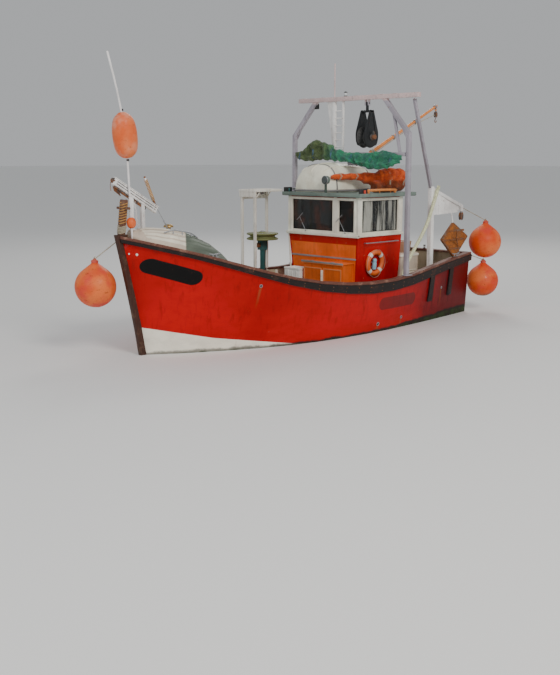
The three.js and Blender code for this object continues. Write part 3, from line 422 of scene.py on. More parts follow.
looks = {
    "hull_red": hullLook("hullPaint"),
    "stem_brown": woodLook("stemOak", (0.060, 0.022, 0.013), (9, 9, 0.6), 0.55, 0.45),
    "antifoul": paintLook("antifouling", (0.055, 0.016, 0.014), 0.8, 0.3, 0.2, 0.6),
    "bronze": metalLook("castBronze", (0.48, 0.31, 0.12), 0.34, 0.12, 0.9),
    "rail_brown": woodLook("railTimber", (0.165, 0.060, 0.040), (0.6, 9, 9), 0.58, 0.60, (0.52, 0.31, 0.22)),
    # the strake's near-black is tar and partly painted shade, the shadow under the rail cap
    "strake_dark": woodLook("tarredStrake", (0.013, 0.008, 0.007), (0.6, 9, 9), 0.6, 0.45,
                            (0.13, 0.055, 0.035)),
    "cream_paint": paintLook("deckCream", (0.68, 0.57, 0.46), 0.6, 0.25, 0.5, 0.45, corners=foredeckCorners),
    "post_brown": woodLook("postTimber", (0.17, 0.075, 0.045), (9, 9, 0.6), 0.6, 0.6),
    "pale_steel": paintLook("paleSteel", (0.90, 0.87, 0.85), 0.45, 0.45, 0.5, 0.3),
    "pole_white": plasticLook("polePlastic", (0.86, 0.83, 0.82), 0.5, 0.3, 0.3),
    "float_orange": floatLook("floatFoam", (0.80, 0.130, 0.028), (0.88, 0.250, 0.090), (0.88, 0.350, 0.220)),
    "grey_paint": paintLook("greyPaint", (0.20, 0.215, 0.21), 0.55, 0.5, 0.4, 0.4),
    "teal_paint": paintLook("tealPaint", (0.035, 0.125, 0.125), 0.5, 0.45, 0.4, 0.4),
    "olive_paint": paintLook("olivePaint", (0.20, 0.215, 0.085), 0.5, 0.55, 0.5, 0.5),
    "rusty_steel": metalLook("rustySteel", (0.26, 0.17, 0.12), 0.5, 0.85, 0.6),
    "canopy_cream": paintLook("canopyPaint", (0.96, 0.91, 0.81), 0.6, 0.35, 0.6, 0.35),
    "house_red": wallLook("houseRed", (0.50, 0.004, 0.004)),
    # the front's orange is painted sunlight: the same red wall paint drawn lit; above z 1.93 the band keeps
    # the wall's red
    "front_orange": wallLook("frontOrange", (0.90, 0.160, 0.026), (0.50, 0.010, 0.006)),
    "roof_grey_green": paintLook("roofPaint", (0.19, 0.245, 0.215), 0.6, 0.3, 0.5, 0.45),
    "window_glass": glassLook("windowGlass"),
    "console_brown": woodLook("consolePly", (0.16, 0.085, 0.045), (9, 9, 0.6), 0.35, 0.25),
    "bright_steel": metalLook("brightSteel", (0.60, 0.60, 0.61), 0.25, 0.08, 0.95),
    "seat_brown": plasticLook("seatVinyl", (0.21, 0.055, 0.032), 0.42, 0.3, 0.5),
    "bin_white": plasticLook("binPlastic", (0.90, 0.88, 0.84), 0.45, 0.2, 0.6),
    "buoy_orange": plasticLook("lifebuoyShell", (0.84, 0.145, 0.018), 0.42, 0.3, 0.4),
    "dinghy_cream": plasticLook("dinghyMoulding", (0.98, 0.92, 0.74), 0.42, 0.2, 0.5, 0.05),
    # painted shade: below z 3.52 to 3.66 the orange roll's twine is drawn dark brown, the shadow on its
    # underside
    "net_orange": fibreLook("orangeTwine", (0.78, 0.120, 0.020), (0.46, 0.055, 0.016),
                            secondTone=("z", 3.52, 3.66, (0.24, 0.060, 0.022))),
    "gantry_lilac": paintLook("gantryPaint", (0.40, 0.37, 0.42), 0.45, 0.45, 0.5, 0.35,
                              head=(5.18, 5.22, (0.76, 0.58, 0.56))),
    "block_black": paintLook("blockPaint", (0.022, 0.024, 0.026), 0.4, 0.35, 0.3, 0.3),
    "block_rubber": plasticLook("blockRubber", (0.028, 0.028, 0.028), 0.62, 0.15, 0.5),
    "galvanised": metalLook("galvanised", (0.42, 0.43, 0.45), 0.45, 0.3, 0.85),
    "boom_orange": paintLook("boomPaint", (0.84, 0.290, 0.075), 0.45, 0.5, 0.4, 0.3),
    "net_green": fibreLook("greenTwine", (0.045, 0.300, 0.155), (0.042, 0.150, 0.120),
                           secondTone=("y", -0.55, 0.10, (0.125, 0.160, 0.065))),
    "door_rust": metalLook("doorPlate", (0.30, 0.12, 0.04), 0.7, 0.95, 0.2, 0.0006,
                           ((0.13, 0.036, 0.009), (0.42, 0.130, 0.018))),
    "fender_orange": floatLook("fenderVinyl", (0.76, 0.070, 0.010), (0.88, 0.190, 0.045),
                               (0.76, 0.065, 0.038)),
    "spar_green": woodLook("sparPaint", (0.74, 0.76, 0.48), (9, 9, 0.6), 0.6, 0.25, (0.55, 0.50, 0.34)),
    "basket_tan": plasticLook("basketStrip", (0.55, 0.33, 0.20), 0.55, 0.3, 0.5),
}
extraLooks = {
    "frameCream": paintLook("frameCream", (0.97, 0.90, 0.76), 0.45, 0.15, 0.5, 0.3, (0.42, 0.25, 0.15)),
    "battenCream": paintLook("battenCream", (0.90, 0.82, 0.68), 0.55, 0.1, 0.6, 0.35, (0.40, 0.28, 0.18),
                             corners=foredeckCorners),
    "blackRubber": plasticLook("gasketRubber", (0.020, 0.020, 0.021), 0.6, 0.1, 0.3),
    "ropePale": fibreLook("paleRope", (0.56, 0.49, 0.36), (0.40, 0.34, 0.24), 0.9, 330),
    "ropeBlue": fibreLook("blueRope", (0.10, 0.20, 0.36), (0.07, 0.14, 0.24), 0.85, 330),
    "ropeTan": fibreLook("tanRope", (0.66, 0.36, 0.10), (0.38, 0.18, 0.05), 0.85, 330),
    "whiteBand": plasticLook("whiteBand", (0.80, 0.79, 0.74), 0.4, 0.1, 0.4),
    "redTrim": plasticLook("redTrim", (0.55, 0.055, 0.025), 0.45, 0.4, 0.5),
    "paleOrange": paintLook("paleOrange", (0.80, 0.27, 0.09), 0.45, 0.3, 0.5, 0.3),
    "greyTrim": paintLook("greyTrim", (0.30, 0.29, 0.29), 0.5, 0.4, 0.4, 0.3),
    "darkSteel": metalLook("darkSteel", (0.13, 0.125, 0.12), 0.5, 0.6, 0.7),
    "instrument": plasticLook("instrumentBlack", (0.018, 0.020, 0.022), 0.3, 0.05, 0.2),
    "lampGlass": plasticLook("lampLens", (0.70, 0.74, 0.74), 0.08, 0.0, 0.1, 0.6),
    "darkLens": plasticLook("darkLens", (0.055, 0.070, 0.068), 0.10, 0.0, 0.1, 0.5),
    "skyBlue": plasticLook("skyBlueCase", (0.30, 0.56, 0.70), 0.4, 0.2, 0.4),
}
print("finishes made:", len(looks) + len(extraLooks))


# modelling helpers
def clearPicks():
    if bpy.context.object and bpy.context.object.mode != "OBJECT":
        bpy.ops.object.mode_set(mode="OBJECT")
    bpy.ops.object.select_all(action="DESELECT")


def pick(piece):
    clearPicks()
    piece.select_set(True)
    bpy.context.view_layer.objects.active = piece
    return piece


def settle(piece):
    pick(piece)
    bpy.ops.object.transform_apply(location=True, rotation=True, scale=True)
    return piece


def shaded(piece, angle):
    pick(piece)
    bpy.ops.object.shade_smooth_by_angle(angle=math.radians(angle))
    return piece


def modify(piece, kind, **settings):
    pick(piece)
    made = piece.modifiers.new(kind, kind)
    for key, value in settings.items():
        setattr(made, key, value)
    bpy.ops.object.modifier_apply(modifier=made.name)
    return piece


def soften(piece, width, steps=2, angle=35):
    if width:
        modify(piece, "BEVEL", width=width, segments=steps, limit_method="ANGLE",
               angle_limit=math.radians(angle))
    return shaded(piece, angle)


def weld(pieces):
    clearPicks()
    for piece in pieces:
        piece.select_set(True)
    bpy.context.view_layer.objects.active = pieces[0]
    if len(pieces) > 1:
        bpy.ops.object.join()
    return bpy.context.object


# names a piece, or a list of them joined, gives it its look and body, and hides the solids that it stands for
def keep(pieces, name, look, body="boat", replaced=()):
    piece = settle(weld(pieces) if isinstance(pieces, list) else pieces)
    piece.name = piece.data.name = name
    piece.data.materials.clear()
    piece.data.materials.append(extraLooks[look] if look in extraLooks else looks[look])
    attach(piece, body)
    look in looks
    if replaced:
        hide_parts(*replaced)
    return piece


def block(low, high, edge=0.004, steps=2):
    clearPicks()
    centre = [(a + b) / 2 for a, b in zip(low, high)]
    bpy.ops.mesh.primitive_cube_add(size=1, location=centre, scale=[b - a for a, b in zip(low, high)])
    piece = settle(bpy.context.object)
    return soften(piece, edge, steps)


def turnTo(direction):
    return Vector(direction).normalized().to_track_quat("Z", "Y").to_euler()


def rod(start, end, radius, sides=24, edge=0.003, endRadius=None):
    clearPicks()
    a, b = Vector(start), Vector(end)
    bpy.ops.mesh.primitive_cone_add(vertices=sides, radius1=radius,
                                    radius2=radius if endRadius is None else endRadius, depth=(b - a).length,
                                    location=(a + b) / 2, rotation=turnTo(b - a))
    return soften(settle(bpy.context.object), edge)


def ring(centre, axis, major, minor, turns=40, sides=12):
    clearPicks()
    bpy.ops.mesh.primitive_torus_add(major_radius=major, minor_radius=minor, major_segments=turns,
                                     minor_segments=sides, location=centre, rotation=turnTo(axis))
    piece = settle(bpy.context.object)
    bpy.ops.object.shade_smooth()
    return piece


def around(count):
    return [math.tau * k / count for k in range(count)]


def rise(height):
    return Vector((0, 0, height))


def smoothPath(points, steps=8, closed=False):
    full = []
    count = len(points)
    for i in range(count if closed else count - 1):
        p = [Vector(points[(i + k) % count] if closed else points[max(0, min(count - 1, i + k))])
             for k in (-1, 0, 1, 2)]
        for k in range(steps):
            t = k / steps
            full.append(0.5 * ((2 * p[1]) + (p[2] - p[0]) * t
                               + (2 * p[0] - 5 * p[1] + 4 * p[2] - p[3]) * t * t
                               + (3 * p[1] - p[0] - 3 * p[2] + p[3]) * t ** 3))
    if not closed:
        full.append(Vector(points[-1]))
    return full


def pipe(points, radius, sides=8, closed=False):
    curve = bpy.data.curves.new("pipe", "CURVE")
    curve.dimensions = "3D"
    curve.bevel_depth = radius
    curve.bevel_resolution = max(0, sides // 4 - 1)
    curve.use_fill_caps = not closed
    spline = curve.splines.new("POLY")
    spline.points.add(len(points) - 1)
    for point, place in zip(spline.points, points):
        point.co = (*place, 1)
    spline.use_cyclic_u = closed
    pick(linked("pipe", curve))
    bpy.ops.object.convert(target="MESH")
    return shaded(bpy.context.object, 50)


# a pipe along a curve through the points
def bent(points, steps, radius, sides):
    return pipe(smoothPath(points, steps), radius, sides)


# three-strand rope: each strand winds round the path, a full turn in a length of seven radii
def rope(points, radius, lay=7.0, spacing=1.3):
    path = smoothPath(points) if len(points) < 40 else [Vector(p) for p in points]
    spaced = [path[0]]
    for a, b in zip(path, path[1:]):
        pieces = max(1, round((b - a).length / (radius * spacing)))
        spaced += [a.lerp(b, (k + 1) / pieces) for k in range(pieces)]
    strands = [[], [], []]
    side = None
    gone = 0.0
    for i, here in enumerate(spaced):
        behind = spaced[max(0, i - 1)]
        along = (spaced[min(i + 1, len(spaced) - 1)] - behind).normalized()
        if side is None:
            side = along.orthogonal().normalized()
        side = (side - along * side.dot(along)).normalized()
        other = along.cross(side)
        gone += (here - behind).length
        for k in range(3):
            a = gone / (radius * lay) * math.tau + k * math.tau / 3
            strands[k].append(here + (side * math.cos(a) + other * math.sin(a)) * radius * 0.50)
    return weld([pipe(s, radius * 0.53, 6) for s in strands])


# closed skin from loops of points
def skin(loops):
    mesh = bpy.data.meshes.new("skin")
    made = bmesh.new()
    rows = [[made.verts.new(p) for p in loop] for loop in loops]
    for a, b in zip(rows, rows[1:]):
        for k in range(len(a)):
            after = (k + 1) % len(a)
            made.faces.new((a[k], a[after], b[after], b[k]))
    made.faces.new(rows[0][::-1])
    made.faces.new(rows[-1])
    bmesh.ops.recalc_face_normals(made, faces=made.faces)
    made.to_mesh(mesh)
    made.free()
    return pick(linked("skin", mesh))


# a copy of a CAD solid with its doubled corners merged, and its coplanar faces too where that is asked
def copyOf(nodeName, flatten=False):
    piece = pick(linked(nodeName + "_copy", nodes[nodeName].data.copy()))
    bpy.ops.object.mode_set(mode="EDIT")
    bpy.ops.mesh.select_all(action="SELECT")
    bpy.ops.mesh.remove_doubles(threshold=0.00002)
    if flatten:
        bpy.ops.mesh.dissolve_limited(angle_limit=math.radians(1.0))
    bpy.ops.object.mode_set(mode="OBJECT")
    return piece


for node in nodes.values():
    node.data.materials.clear()
    node.data.materials.append(looks[slotOf[node.name]])

# solids drawn again as they are, each with the width of its softened edges
plainEdges = {
    "wheelhouse_roof": 0.012, "front_locker": 0.008, "gantry_leg_port": 0.010, "gantry_leg_starboard": 0.010,
    "gantry_beam": 0.010, "gantry_cross_beam": 0.006, "gantry_strut": 0.008, "mast_ladder": 0.003,
    "bow_davit": 0.006, "samson_post": 0.012, "hauler_canopy": 0.008, "hatch_coaming": 0.010,
    "hatch_lid": 0.010, "winch_frame": 0.003, "engine_casing": 0.020, "gallows_port": 0.006,
    "gallows_starboard": 0.006, "hauler_post": 0.006,
    "trawl_door_port": 0.006, "trawl_door_starboard": 0.006, "aft_door": 0.005,
    "wheelhouse_port": 0.0, "wheelhouse_starboard": 0.0, "wheelhouse_front": 0.0, "wheelhouse_back": 0.0,
    "hull": 0.0, "capping_rail": 0.0, "rubbing_strake": 0.0, "stem_post": 0.008, "keel": 0.006,
    "foredeck": 0.0, "propeller": 0.0, "rudder": 0.006, "dan_pole": 0.0, "leaning_spar": 0.0,
    "landing_boom": 0.0, "gooseneck": 0.002, "helm_wheel": 0.0, "roof_lamp": 0.0, "fish_bin": 0.008,
    "helm_console": 0.006,
}
for nodeName, edge in plainEdges.items():
    keep(soften(copyOf(nodeName, edge > 0), edge, 2, 32), nodeName + "_dressed", slotOf[nodeName],
         bodyOf[nodeName], (nodeName,))
print("solids dressed:", len(plainEdges))

# hull lines, the same as the solid's, for what is fastened along them: the rail's height and its half breadth
hull = {"stem": 4.57, "rake": 0.49, "bowHeight": 2.375, "flare": 1.15, "stern": -4.7}
railLine = [[0, 2.375], [0.1, 2.07], [0.2, 1.74], [0.3, 1.462], [0.4, 1.28], [0.5, 1.185], [0.6, 1.16],
            [0.7, 1.215], [0.8, 1.335], [0.9, 1.435], [1, 1.505]]
railHalf = [[0, 0.03], [0.035, 0.39], [0.066, 0.67], [0.117, 1.07], [0.218, 1.54], [0.319, 1.77],
            [0.42, 1.855], [0.522, 1.88], [0.623, 1.86], [0.724, 1.795], [0.826, 1.69], [0.927, 1.545],
            [1, 1.42]]


def mix(a, b, t):
    return a + (b - a) * t


# a smooth curve through a table of (share, value), read at t
def line(table, t):
    last = len(table) - 1
    i = 0
    while i < last - 1 and t > table[i + 1][0]:
        i += 1
    (t0, v0), (t1, v1) = table[i], table[i + 1]

    def slope(a, b):
        return (b[1] - a[1]) / (b[0] - a[0])
    here = slope(table[i], table[i + 1])
    m0 = here if i == 0 else (here + slope(table[i - 1], table[i])) / 2
    m1 = here if i == last - 1 else (here + slope(table[i + 1], table[i + 2])) / 2
    w = t1 - t0
    s = (t - t0) / w
    return (v0 * (1 + 2 * s) * (1 - s) ** 2 + m0 * w * s * (1 - s) ** 2 + v1 * s * s * (3 - 2 * s)
            - m1 * w * s * s * (1 - s))


# how far aft of the stem a place is, as a share of the hull's length at that height
def shareAt(x, z):
    stem = hull["stem"] + hull["rake"] * (z / hull["bowHeight"]) ** hull["flare"]
    return (stem - x) / (stem - hull["stern"])


# a piece's faces, for rays that find where a fitting sits on it
def treeOf(piece):
    mesh = piece.data
    return BVHTree.FromPolygons([v.co for v in mesh.vertices], [p.vertices for p in mesh.polygons])


# wheelhouse joinery: window casings, gaskets, sills, corner boards
house = {"front": -0.70, "back": -2.29, "half": 1.10, "low": 2.215, "high": 2.95, "casing": 0.052,
         "proud": 0.020, "boards": (2.17, 3.02), "wallRail": 1.98, "edgeBoards": (3.030, 3.112)}


# a flat frame round an opening; the face is its axis, its place and which way is out
def casing(face, low, high, width, thick, edge=0.005):
    axis, at, out = face
    centre = [(low[0] + high[0]) / 2, (low[1] + high[1]) / 2]
    place = (at, centre[0], centre[1]) if axis == "x" else (centre[0], at, centre[1])
    clearPicks()
    bpy.ops.mesh.primitive_plane_add(size=1, location=(0, 0, 0))
    piece = bpy.context.object
    piece.scale = (high[0] - low[0] + 2 * width, high[1] - low[1] + 2 * width, 1)
    settle(piece)
    bpy.ops.object.mode_set(mode="EDIT")
    bpy.ops.mesh.select_all(action="SELECT")
    bpy.ops.mesh.inset(thickness=width)
    bpy.ops.mesh.delete(type="FACE")
    bpy.ops.object.mode_set(mode="OBJECT")
    modify(piece, "SOLIDIFY", thickness=thick, offset=0)
    piece.rotation_euler = (math.pi / 2, 0, math.pi / 2) if axis == "x" else (math.pi / 2, 0, 0)
    piece.location = place
    settle(piece)
    shift = out * thick / 2
    piece.location = (shift, 0, 0) if axis == "x" else (0, shift, 0)
    settle(piece)
    return soften(piece, edge)


front, back, half = house["front"], house["back"], house["half"]
openings = [(("x", front, 1), (-1.0, 0.33)), (("x", front, 1), (0.5, 0.985)),
            (("y", half, 1), (-2.15, -0.83)), (("y", -half, -1), (-2.15, -0.83)),
            (("x", back, -1), (0.12, 0.88))]
frames, gaskets = [], []


def cased(face, span, inset, depth, *sizes):
    axis, at, out = face
    return casing((axis, at - out * depth, out), (span[0] + inset, house["low"] + inset),
                  (span[1] - inset, house["high"] - inset), *sizes)


for face, span in openings:
    frames.append(cased(face, span, 0, 0, house["casing"], house["proud"]))
    frames.append(cased(face, span, 0.010, 0.048, 0.012, 0.052, 0.002))
    gaskets.append(cased(face, span, 0.018, 0.038, 0.020, 0.014, 0.003))
low, high = house["boards"]
for s in (-1, 1):
    for x0, x1, y, thick in ((-0.716, -0.684, 1.112, 0.010), (-0.800, -0.690, 1.108, 0.008),
                             (-2.302, -2.195, 1.108, 0.008), (-0.708, -0.692, 1.0725, 0.0425)):
        frames.append(block((x0, s * y - thick, low), (x1, s * y + thick, high)))
    frames.append(block((-2.30, s * 1.125 - 0.030, 2.120), (-0.65, s * 1.125 + 0.030, 2.175), 0.010, 3))
frames.append(block((-0.708, 0.375, low), (-0.680, 0.455, high)))
frames.append(block((-0.705, -1.155, 2.105), (-0.640, 1.155, 2.180), 0.012, 3))
frames.append(block((-2.335, 0.02, 2.120), (-2.285, 0.98, 2.172), 0.010, 3))
strip = ((-0.712, -1.040), (-0.688, -1.040), (-0.688, -1.012), (-0.712, -1.012))
frames.append(skin([[(x, y - lean, z) for x, y in strip] for z, lean in ((1.02, 0.000), (2.12, 0.088))]))
keep(frames, "window_casings", "frameCream")
keep(gaskets, "window_gaskets", "blackRubber")

# front locker: panel mouldings, lid edge, trims and post; guard strip on the wall above
mouldings = [casing(("x", -0.370, 1), (y, 0.95), (y + 0.50, 1.36), 0.028, 0.012, 0.003)
             for y in (-0.24, 0.38)]
keep(mouldings + [block((-0.345, -0.334, 1.484), (-0.325, 0.976, 1.500))], "locker_mouldings", "paleOrange")
trims = [block((-0.348, -0.336, 1.502), (-0.322, 0.978, 1.542), 0.006),
         block((-0.735, -1.03, 1.585), (-0.715, 1.03, 1.625), 0.005)]
trims += [block((-0.40, y - 0.03, 1.536), (-0.315, y + 0.03, 1.548), 0.003) for y in (0.0, 0.64)]
keep(trims, "locker_trims", "greyTrim")
keep([block((-0.372, 0.302, 0.98), (-0.318, 0.338, 1.34), 0.008),
      block((-0.372, 0.292, 1.02), (-0.345, 0.348, 1.06), 0.006)], "locker_post", "frameCream")

# small fittings on the house: grab rails, wipers, side lamps, roof edge boards
rails = []
z = house["wallRail"]
for s in (-1, 1):
    wall, y = s * 1.10, s * 1.19
    rails.append(bent([(-2.05, wall, z), (-2.05, y, z), (-1.98, y, z), (-1.0, y, z), (-0.93, y, z),
                       (-0.93, wall, z)], 5, 0.013, 12))
    rails.append(rod((-1.5, s * 1.09, z), (-1.5, y, z), 0.010, 12))
rails.append(bent([(-2.30, -1.00, 1.10), (-2.37, -1.00, 1.12), (-2.37, -1.00, 1.9), (-2.30, -1.00, 1.92)], 5,
                  0.013, 12))
for y in (-0.52, 0.74):
    rails.append(rod((-0.698, y, 2.20), (-0.655, y, 2.20), 0.014, 12))
    rails.append(rod((-0.668, y, 2.20), (-0.668, y - 0.20, 2.52), 0.006, 8))
    rails.append(rod((-0.672, y - 0.30, 2.44), (-0.672, y - 0.10, 2.62), 0.008, 8))
keep(rails, "house_grab_rails", "galvanised")
for side, s, look in (("port", 1, "redTrim"), ("starboard", -1, "teal_paint")):
    y = s * 1.20
    keep([block((-0.86, y - 0.02, 3.106), (-0.62, y + 0.005, 3.215)),
          block((-0.86, y - 0.02, 3.106), (-0.84, y + 0.035, 3.215))], "sidelight_screen_" + side,
         "blackRubber")
    keep(rod((-0.79, s * 1.212, 3.106), (-0.79, s * 1.212, 3.19), 0.030, 24, 0.010), "sidelight_" + side,
         look)
low, high = house["edgeBoards"]
edgeBoards = [block((x0, y0, low), (x1, y1, high), 0.005) for x0, x1, y0, y1 in (
    (-2.655, -0.585, -1.240, -1.226), (-2.655, -0.585, 1.226, 1.240),
    (-0.600, -0.584, -1.240, 1.240), (-2.656, -2.642, -1.240, 1.240))]
keep(edgeBoards, "roof_edge_boards", "roof_grey_green")

# aft door furniture
keep([bent([(-2.332, -0.80, 1.62), (-2.375, -0.80, 1.63), (-2.375, -0.80, 1.76), (-2.332, -0.80, 1.77)], 4,
           0.009, 10), block((-2.340, -0.825, 1.585), (-2.330, -0.775, 1.80), 0.003)], "aft_door_handle",
     "bright_steel", "aft_door")
keep(casing(("x", -2.332, -1), (-0.79, 1.95), (-0.37, 2.52), 0.035, 0.012, 0.003), "aft_door_gasket",
     "blackRubber", "aft_door")
keep(block((-2.318, -0.80, 1.94), (-2.312, -0.36, 2.53), 0.001), "aft_door_pane", "window_glass", "aft_door")

# helm: compass, plotter, levers
x, y = -0.945, 0.30
keep([rod((x, y, 2.06), (x, y, 2.10), 0.075, 32, 0.006), rod((x, y, 2.10), (x, y, 2.16), 0.062, 32, 0.024),
      block((-0.985, -0.62, 2.10), (-0.925, -0.22, 2.36), 0.016, 3),
      block((-0.965, -0.46, 2.06), (-0.935, -0.38, 2.12)),
      block((-0.985, -0.10, 2.06), (-0.915, 0.14, 2.20), 0.014, 3)], "helm_instruments", "instrument")
levers = []
for x, y in ((-1.06, 0.62), (-0.98, 0.72)):
    levers += [rod((-1.02, y, 2.02), (x, y, 2.22), 0.009, 12),
               rod((x, y, 2.20), (x, y, 2.25), 0.022, 16, 0.008)]
keep(levers, "helm_levers", "bright_steel")
print("wheelhouse fittings made")


# round things laid on an axis: profile as (radius, along)
def lathe(profile, base, axis, sides=40):
    axis = Vector(axis).normalized()
    side = axis.orthogonal().normalized()
    other = axis.cross(side)
    loops = []
    for radius, along in profile:
        radius = max(radius, 0.0004)
        loops.append([Vector(base) + axis * along + (side * math.cos(a) + other * math.sin(a)) * radius
                      for a in around(sides)])
    return shaded(skin(loops), 40)


# a half profile and its mirror image, with what lies between them, for a wheel that is the same on both sides
def mirrored(half, middle=()):
    return [(radius, -along) for radius, along in half[::-1]] + list(middle) + half


# a small closed eye
def eyeAt(place, axis, major=0.026, minor=0.008):
    return ring(place, axis, major, minor, 24, 10)


def curvePoints(points, steps=6):
    return [(p.x, p.y) for p in smoothPath([(a, b, 0) for a, b in points], steps)]


# ball fenders with their moulded necks and rope lanyards
fenders = {
    "fender_quarter_high": {"centre": (-5.170, 1.560, 1.790), "r": 0.41, "tie": (-4.340, 1.380, 2.690)},
    "fender_quarter_low": {"centre": (-5.130, 1.560, 0.790), "r": 0.40, "tie": (-4.665, 1.320, 1.510)},
    "fender_bow": {"centre": (5.300, -0.540, 1.400), "r": 0.41, "tie": (4.850, -0.275, 2.345)},
}
for name, f in fenders.items():
    r = f["r"]
    centre = Vector(f["centre"])
    ball = [(r * math.sin(a), -r * math.cos(a)) for a in (math.pi * k / 30 for k in range(25))]
    ball += curvePoints([(r * 0.52, r * 0.86), (r * 0.34, r * 1.00), (0.085, r * 1.10), (0.060, r * 1.18),
                         (0.058, r * 1.27)], 4)[1:] + [(0.050, r * 1.30), (0.0, r * 1.30)]
    seam = ring(centre, (1, 0.2, 0), r * 0.9995, 0.004, 72, 8)
    modify(seam, "SUBSURF", levels=1, render_levels=1)
    keep([lathe(ball, centre, (0, 0, 1), 56), seam], name + "_ball", "fender_orange", replaced=(name,))
    neck = centre + rise(r * 1.22)
    collar = lathe([(0.058, -0.030), (0.071, -0.022), (0.072, 0.018), (0.060, 0.028)], neck, (0, 0, 1), 32)
    keep([eyeAt(neck + rise(0.012), (1, 0.4, 0), 0.036, 0.012), collar], name + "_eye", "redTrim")
    tie = Vector(f["tie"])
    up = neck + rise(0.045)
    knot = ((0.02, 0, -0.02), (-0.02, 0.02, 0.0), (0.0, -0.022, 0.02), (0.018, 0.01, 0.03),
            (-0.016, -0.01, 0.045))
    keep([rope([up, up.lerp(tie, 0.33), up.lerp(tie, 0.66), tie], 0.011),
          rope([up + Vector(p) for p in knot], 0.010)], name + "_lanyard", "ropePale")

# marker float on its pole, with a collar at each end
dan = {"centre": Vector((4.938, 0.09, 4.33)), "axis": Vector((0.11, 0, 1)).normalized()}
profile = curvePoints([(0.03, -0.43), (0.10, -0.412), (0.195, -0.31), (0.233, -0.12), (0.233, 0.12),
                       (0.186, 0.31), (0.085, 0.412), (0.03, 0.43)])
keep(lathe([(0.0, -0.43)] + profile + [(0.0, 0.43)], dan["centre"], dan["axis"], 48), "dan_float_skin",
     "float_orange", replaced=("dan_float",))
keep([lathe([(0.022, -0.02), (0.028, -0.018), (0.028, 0.018), (0.022, 0.02)], dan["centre"] + dan["axis"] * t,
            dan["axis"], 20) for t in (-0.47, 0.47)], "dan_collars", "blackRubber")

# lifebuoy: shell, white bands, grab line, lamp
buoy = {"centre": Vector((-1.320, 1.1036, 1.500)), "axis": Vector((0, 0.9967, -0.0816)), "major": 0.25,
        "minor": 0.060}


def buoyPoint(a, out, up):
    side = Vector((1, 0, 0))
    outward = side * math.cos(a) + buoy["axis"].cross(side) * math.sin(a)
    return buoy["centre"] + outward * out + buoy["axis"] * up


# a stretch of the lifebuoy's ring, from one angle to another
def buoyRing(start, end, steps, minor):
    loops = []
    for i in range(steps + 1):
        a = mix(start, end, i / steps)
        loops.append([buoyPoint(a, buoy["major"] + minor * math.cos(b), minor * 0.84 * math.sin(b))
                      for b in around(18)])
    return shaded(skin(loops), 40)


keep(buoyRing(0, math.tau, 72, buoy["minor"]), "lifebuoy_shell", "buoy_orange", replaced=("lifebuoy",))
keep([buoyRing(a - 0.15, a + 0.15, 6, buoy["minor"] + 0.003)
      for a in (math.tau * (k + 0.5) / 4 for k in range(4))], "lifebuoy_bands", "whiteBand")
grab = []
for k in range(4):
    points = []
    for i in range(9):
        slack = 0.020 * math.sin(math.pi * i / 8)
        points.append(buoyPoint(math.tau * (k + 0.5 + i / 8) / 4, 0.312 + slack * 0.5,
                                0.022 + slack) - rise(slack * 0.8))
    grab.append(rope(points, 0.0055))
keep(grab, "lifebuoy_grab_line", "ropePale")
profile = [(0.0, 0.0), (0.034, 0.004), (0.051, 0.020), (0.054, 0.050), (0.054, 0.165), (0.047, 0.175),
           (0.047, 0.190), (0.052, 0.197), (0.052, 0.245), (0.032, 0.270), (0.0, 0.274)]
keep([lathe(profile, (-1.295, 1.098, 1.335), (0, 0.0816, 0.9967), 32),
      block((-1.335, 1.040, 1.40), (-1.255, 1.070, 1.43)),
      block((-1.335, 1.046, 1.50), (-1.255, 1.076, 1.53))], "lifebuoy_lamp", "skyBlue")
print("floats made")


# bundles of netting: the solid's shape remeshed, lumped, with a layer of real twine meshes over it
def bundle(nodeName, look, lump, seed, mesh, twine, pleat, voxel=0.018):
    piece = copyOf(nodeName)
    modify(piece, "REMESH", mode="VOXEL", voxel_size=voxel)
    modify(piece, "SMOOTH", iterations=6, factor=0.5)
    drawEnds(piece, 0 if pleat[0] else 1)
    lumps(piece, lump, seed, pleat)
    modify(piece, "SMOOTH", iterations=1, factor=0.4)
    bpy.ops.object.shade_smooth()
    over = linked(nodeName + "_over", piece.data.copy())
    modify(over, "REMESH", mode="VOXEL", voxel_size=mesh)
    pick(over)
    bpy.ops.object.mode_set(mode="EDIT")
    bpy.ops.mesh.select_mode(type="EDGE")
    bpy.ops.mesh.select_all(action="SELECT")
    bpy.ops.mesh.poke()
    made = bmesh.from_edit_mesh(over.data)
    made.verts.ensure_lookup_table()
    for edge in made.edges:
        edge.select = len(edge.verts[0].link_edges) != 4 and len(edge.verts[1].link_edges) != 4
    bmesh.update_edit_mesh(over.data)
    bpy.ops.mesh.dissolve_edges(use_verts=False)
    bpy.ops.object.mode_set(mode="OBJECT")
    for v in over.data.vertices:
        v.co += v.normal * twine * 0.8
    modify(over, "WIREFRAME", thickness=twine, use_even_offset=False)
    keep(piece, nodeName + "_bundle", look, replaced=(nodeName,))
    keep(over, nodeName + "_twine", look)
    return piece


# the ends of a bundle are drawn in by their lashings
def drawEnds(piece, axis, share=0.16, most=0.55):
    places = [v.co[axis] for v in piece.data.vertices]
    low, high = min(places), max(places)
    reach = (high - low) * share
    for end, sign in ((low, 1), (high, -1)):
        near = [v for v in piece.data.vertices if (v.co[axis] - end) * sign < reach]
        middle = sum((v.co for v in near), Vector()) / len(near)
        for v in near:
            t = 1 - (v.co[axis] - end) * sign / reach
            close = 1 - most * t * t * (3 - 2 * t)
            for other in (k for k in (0, 1, 2) if k != axis):
                v.co[other] = middle[other] + (v.co[other] - middle[other]) * close


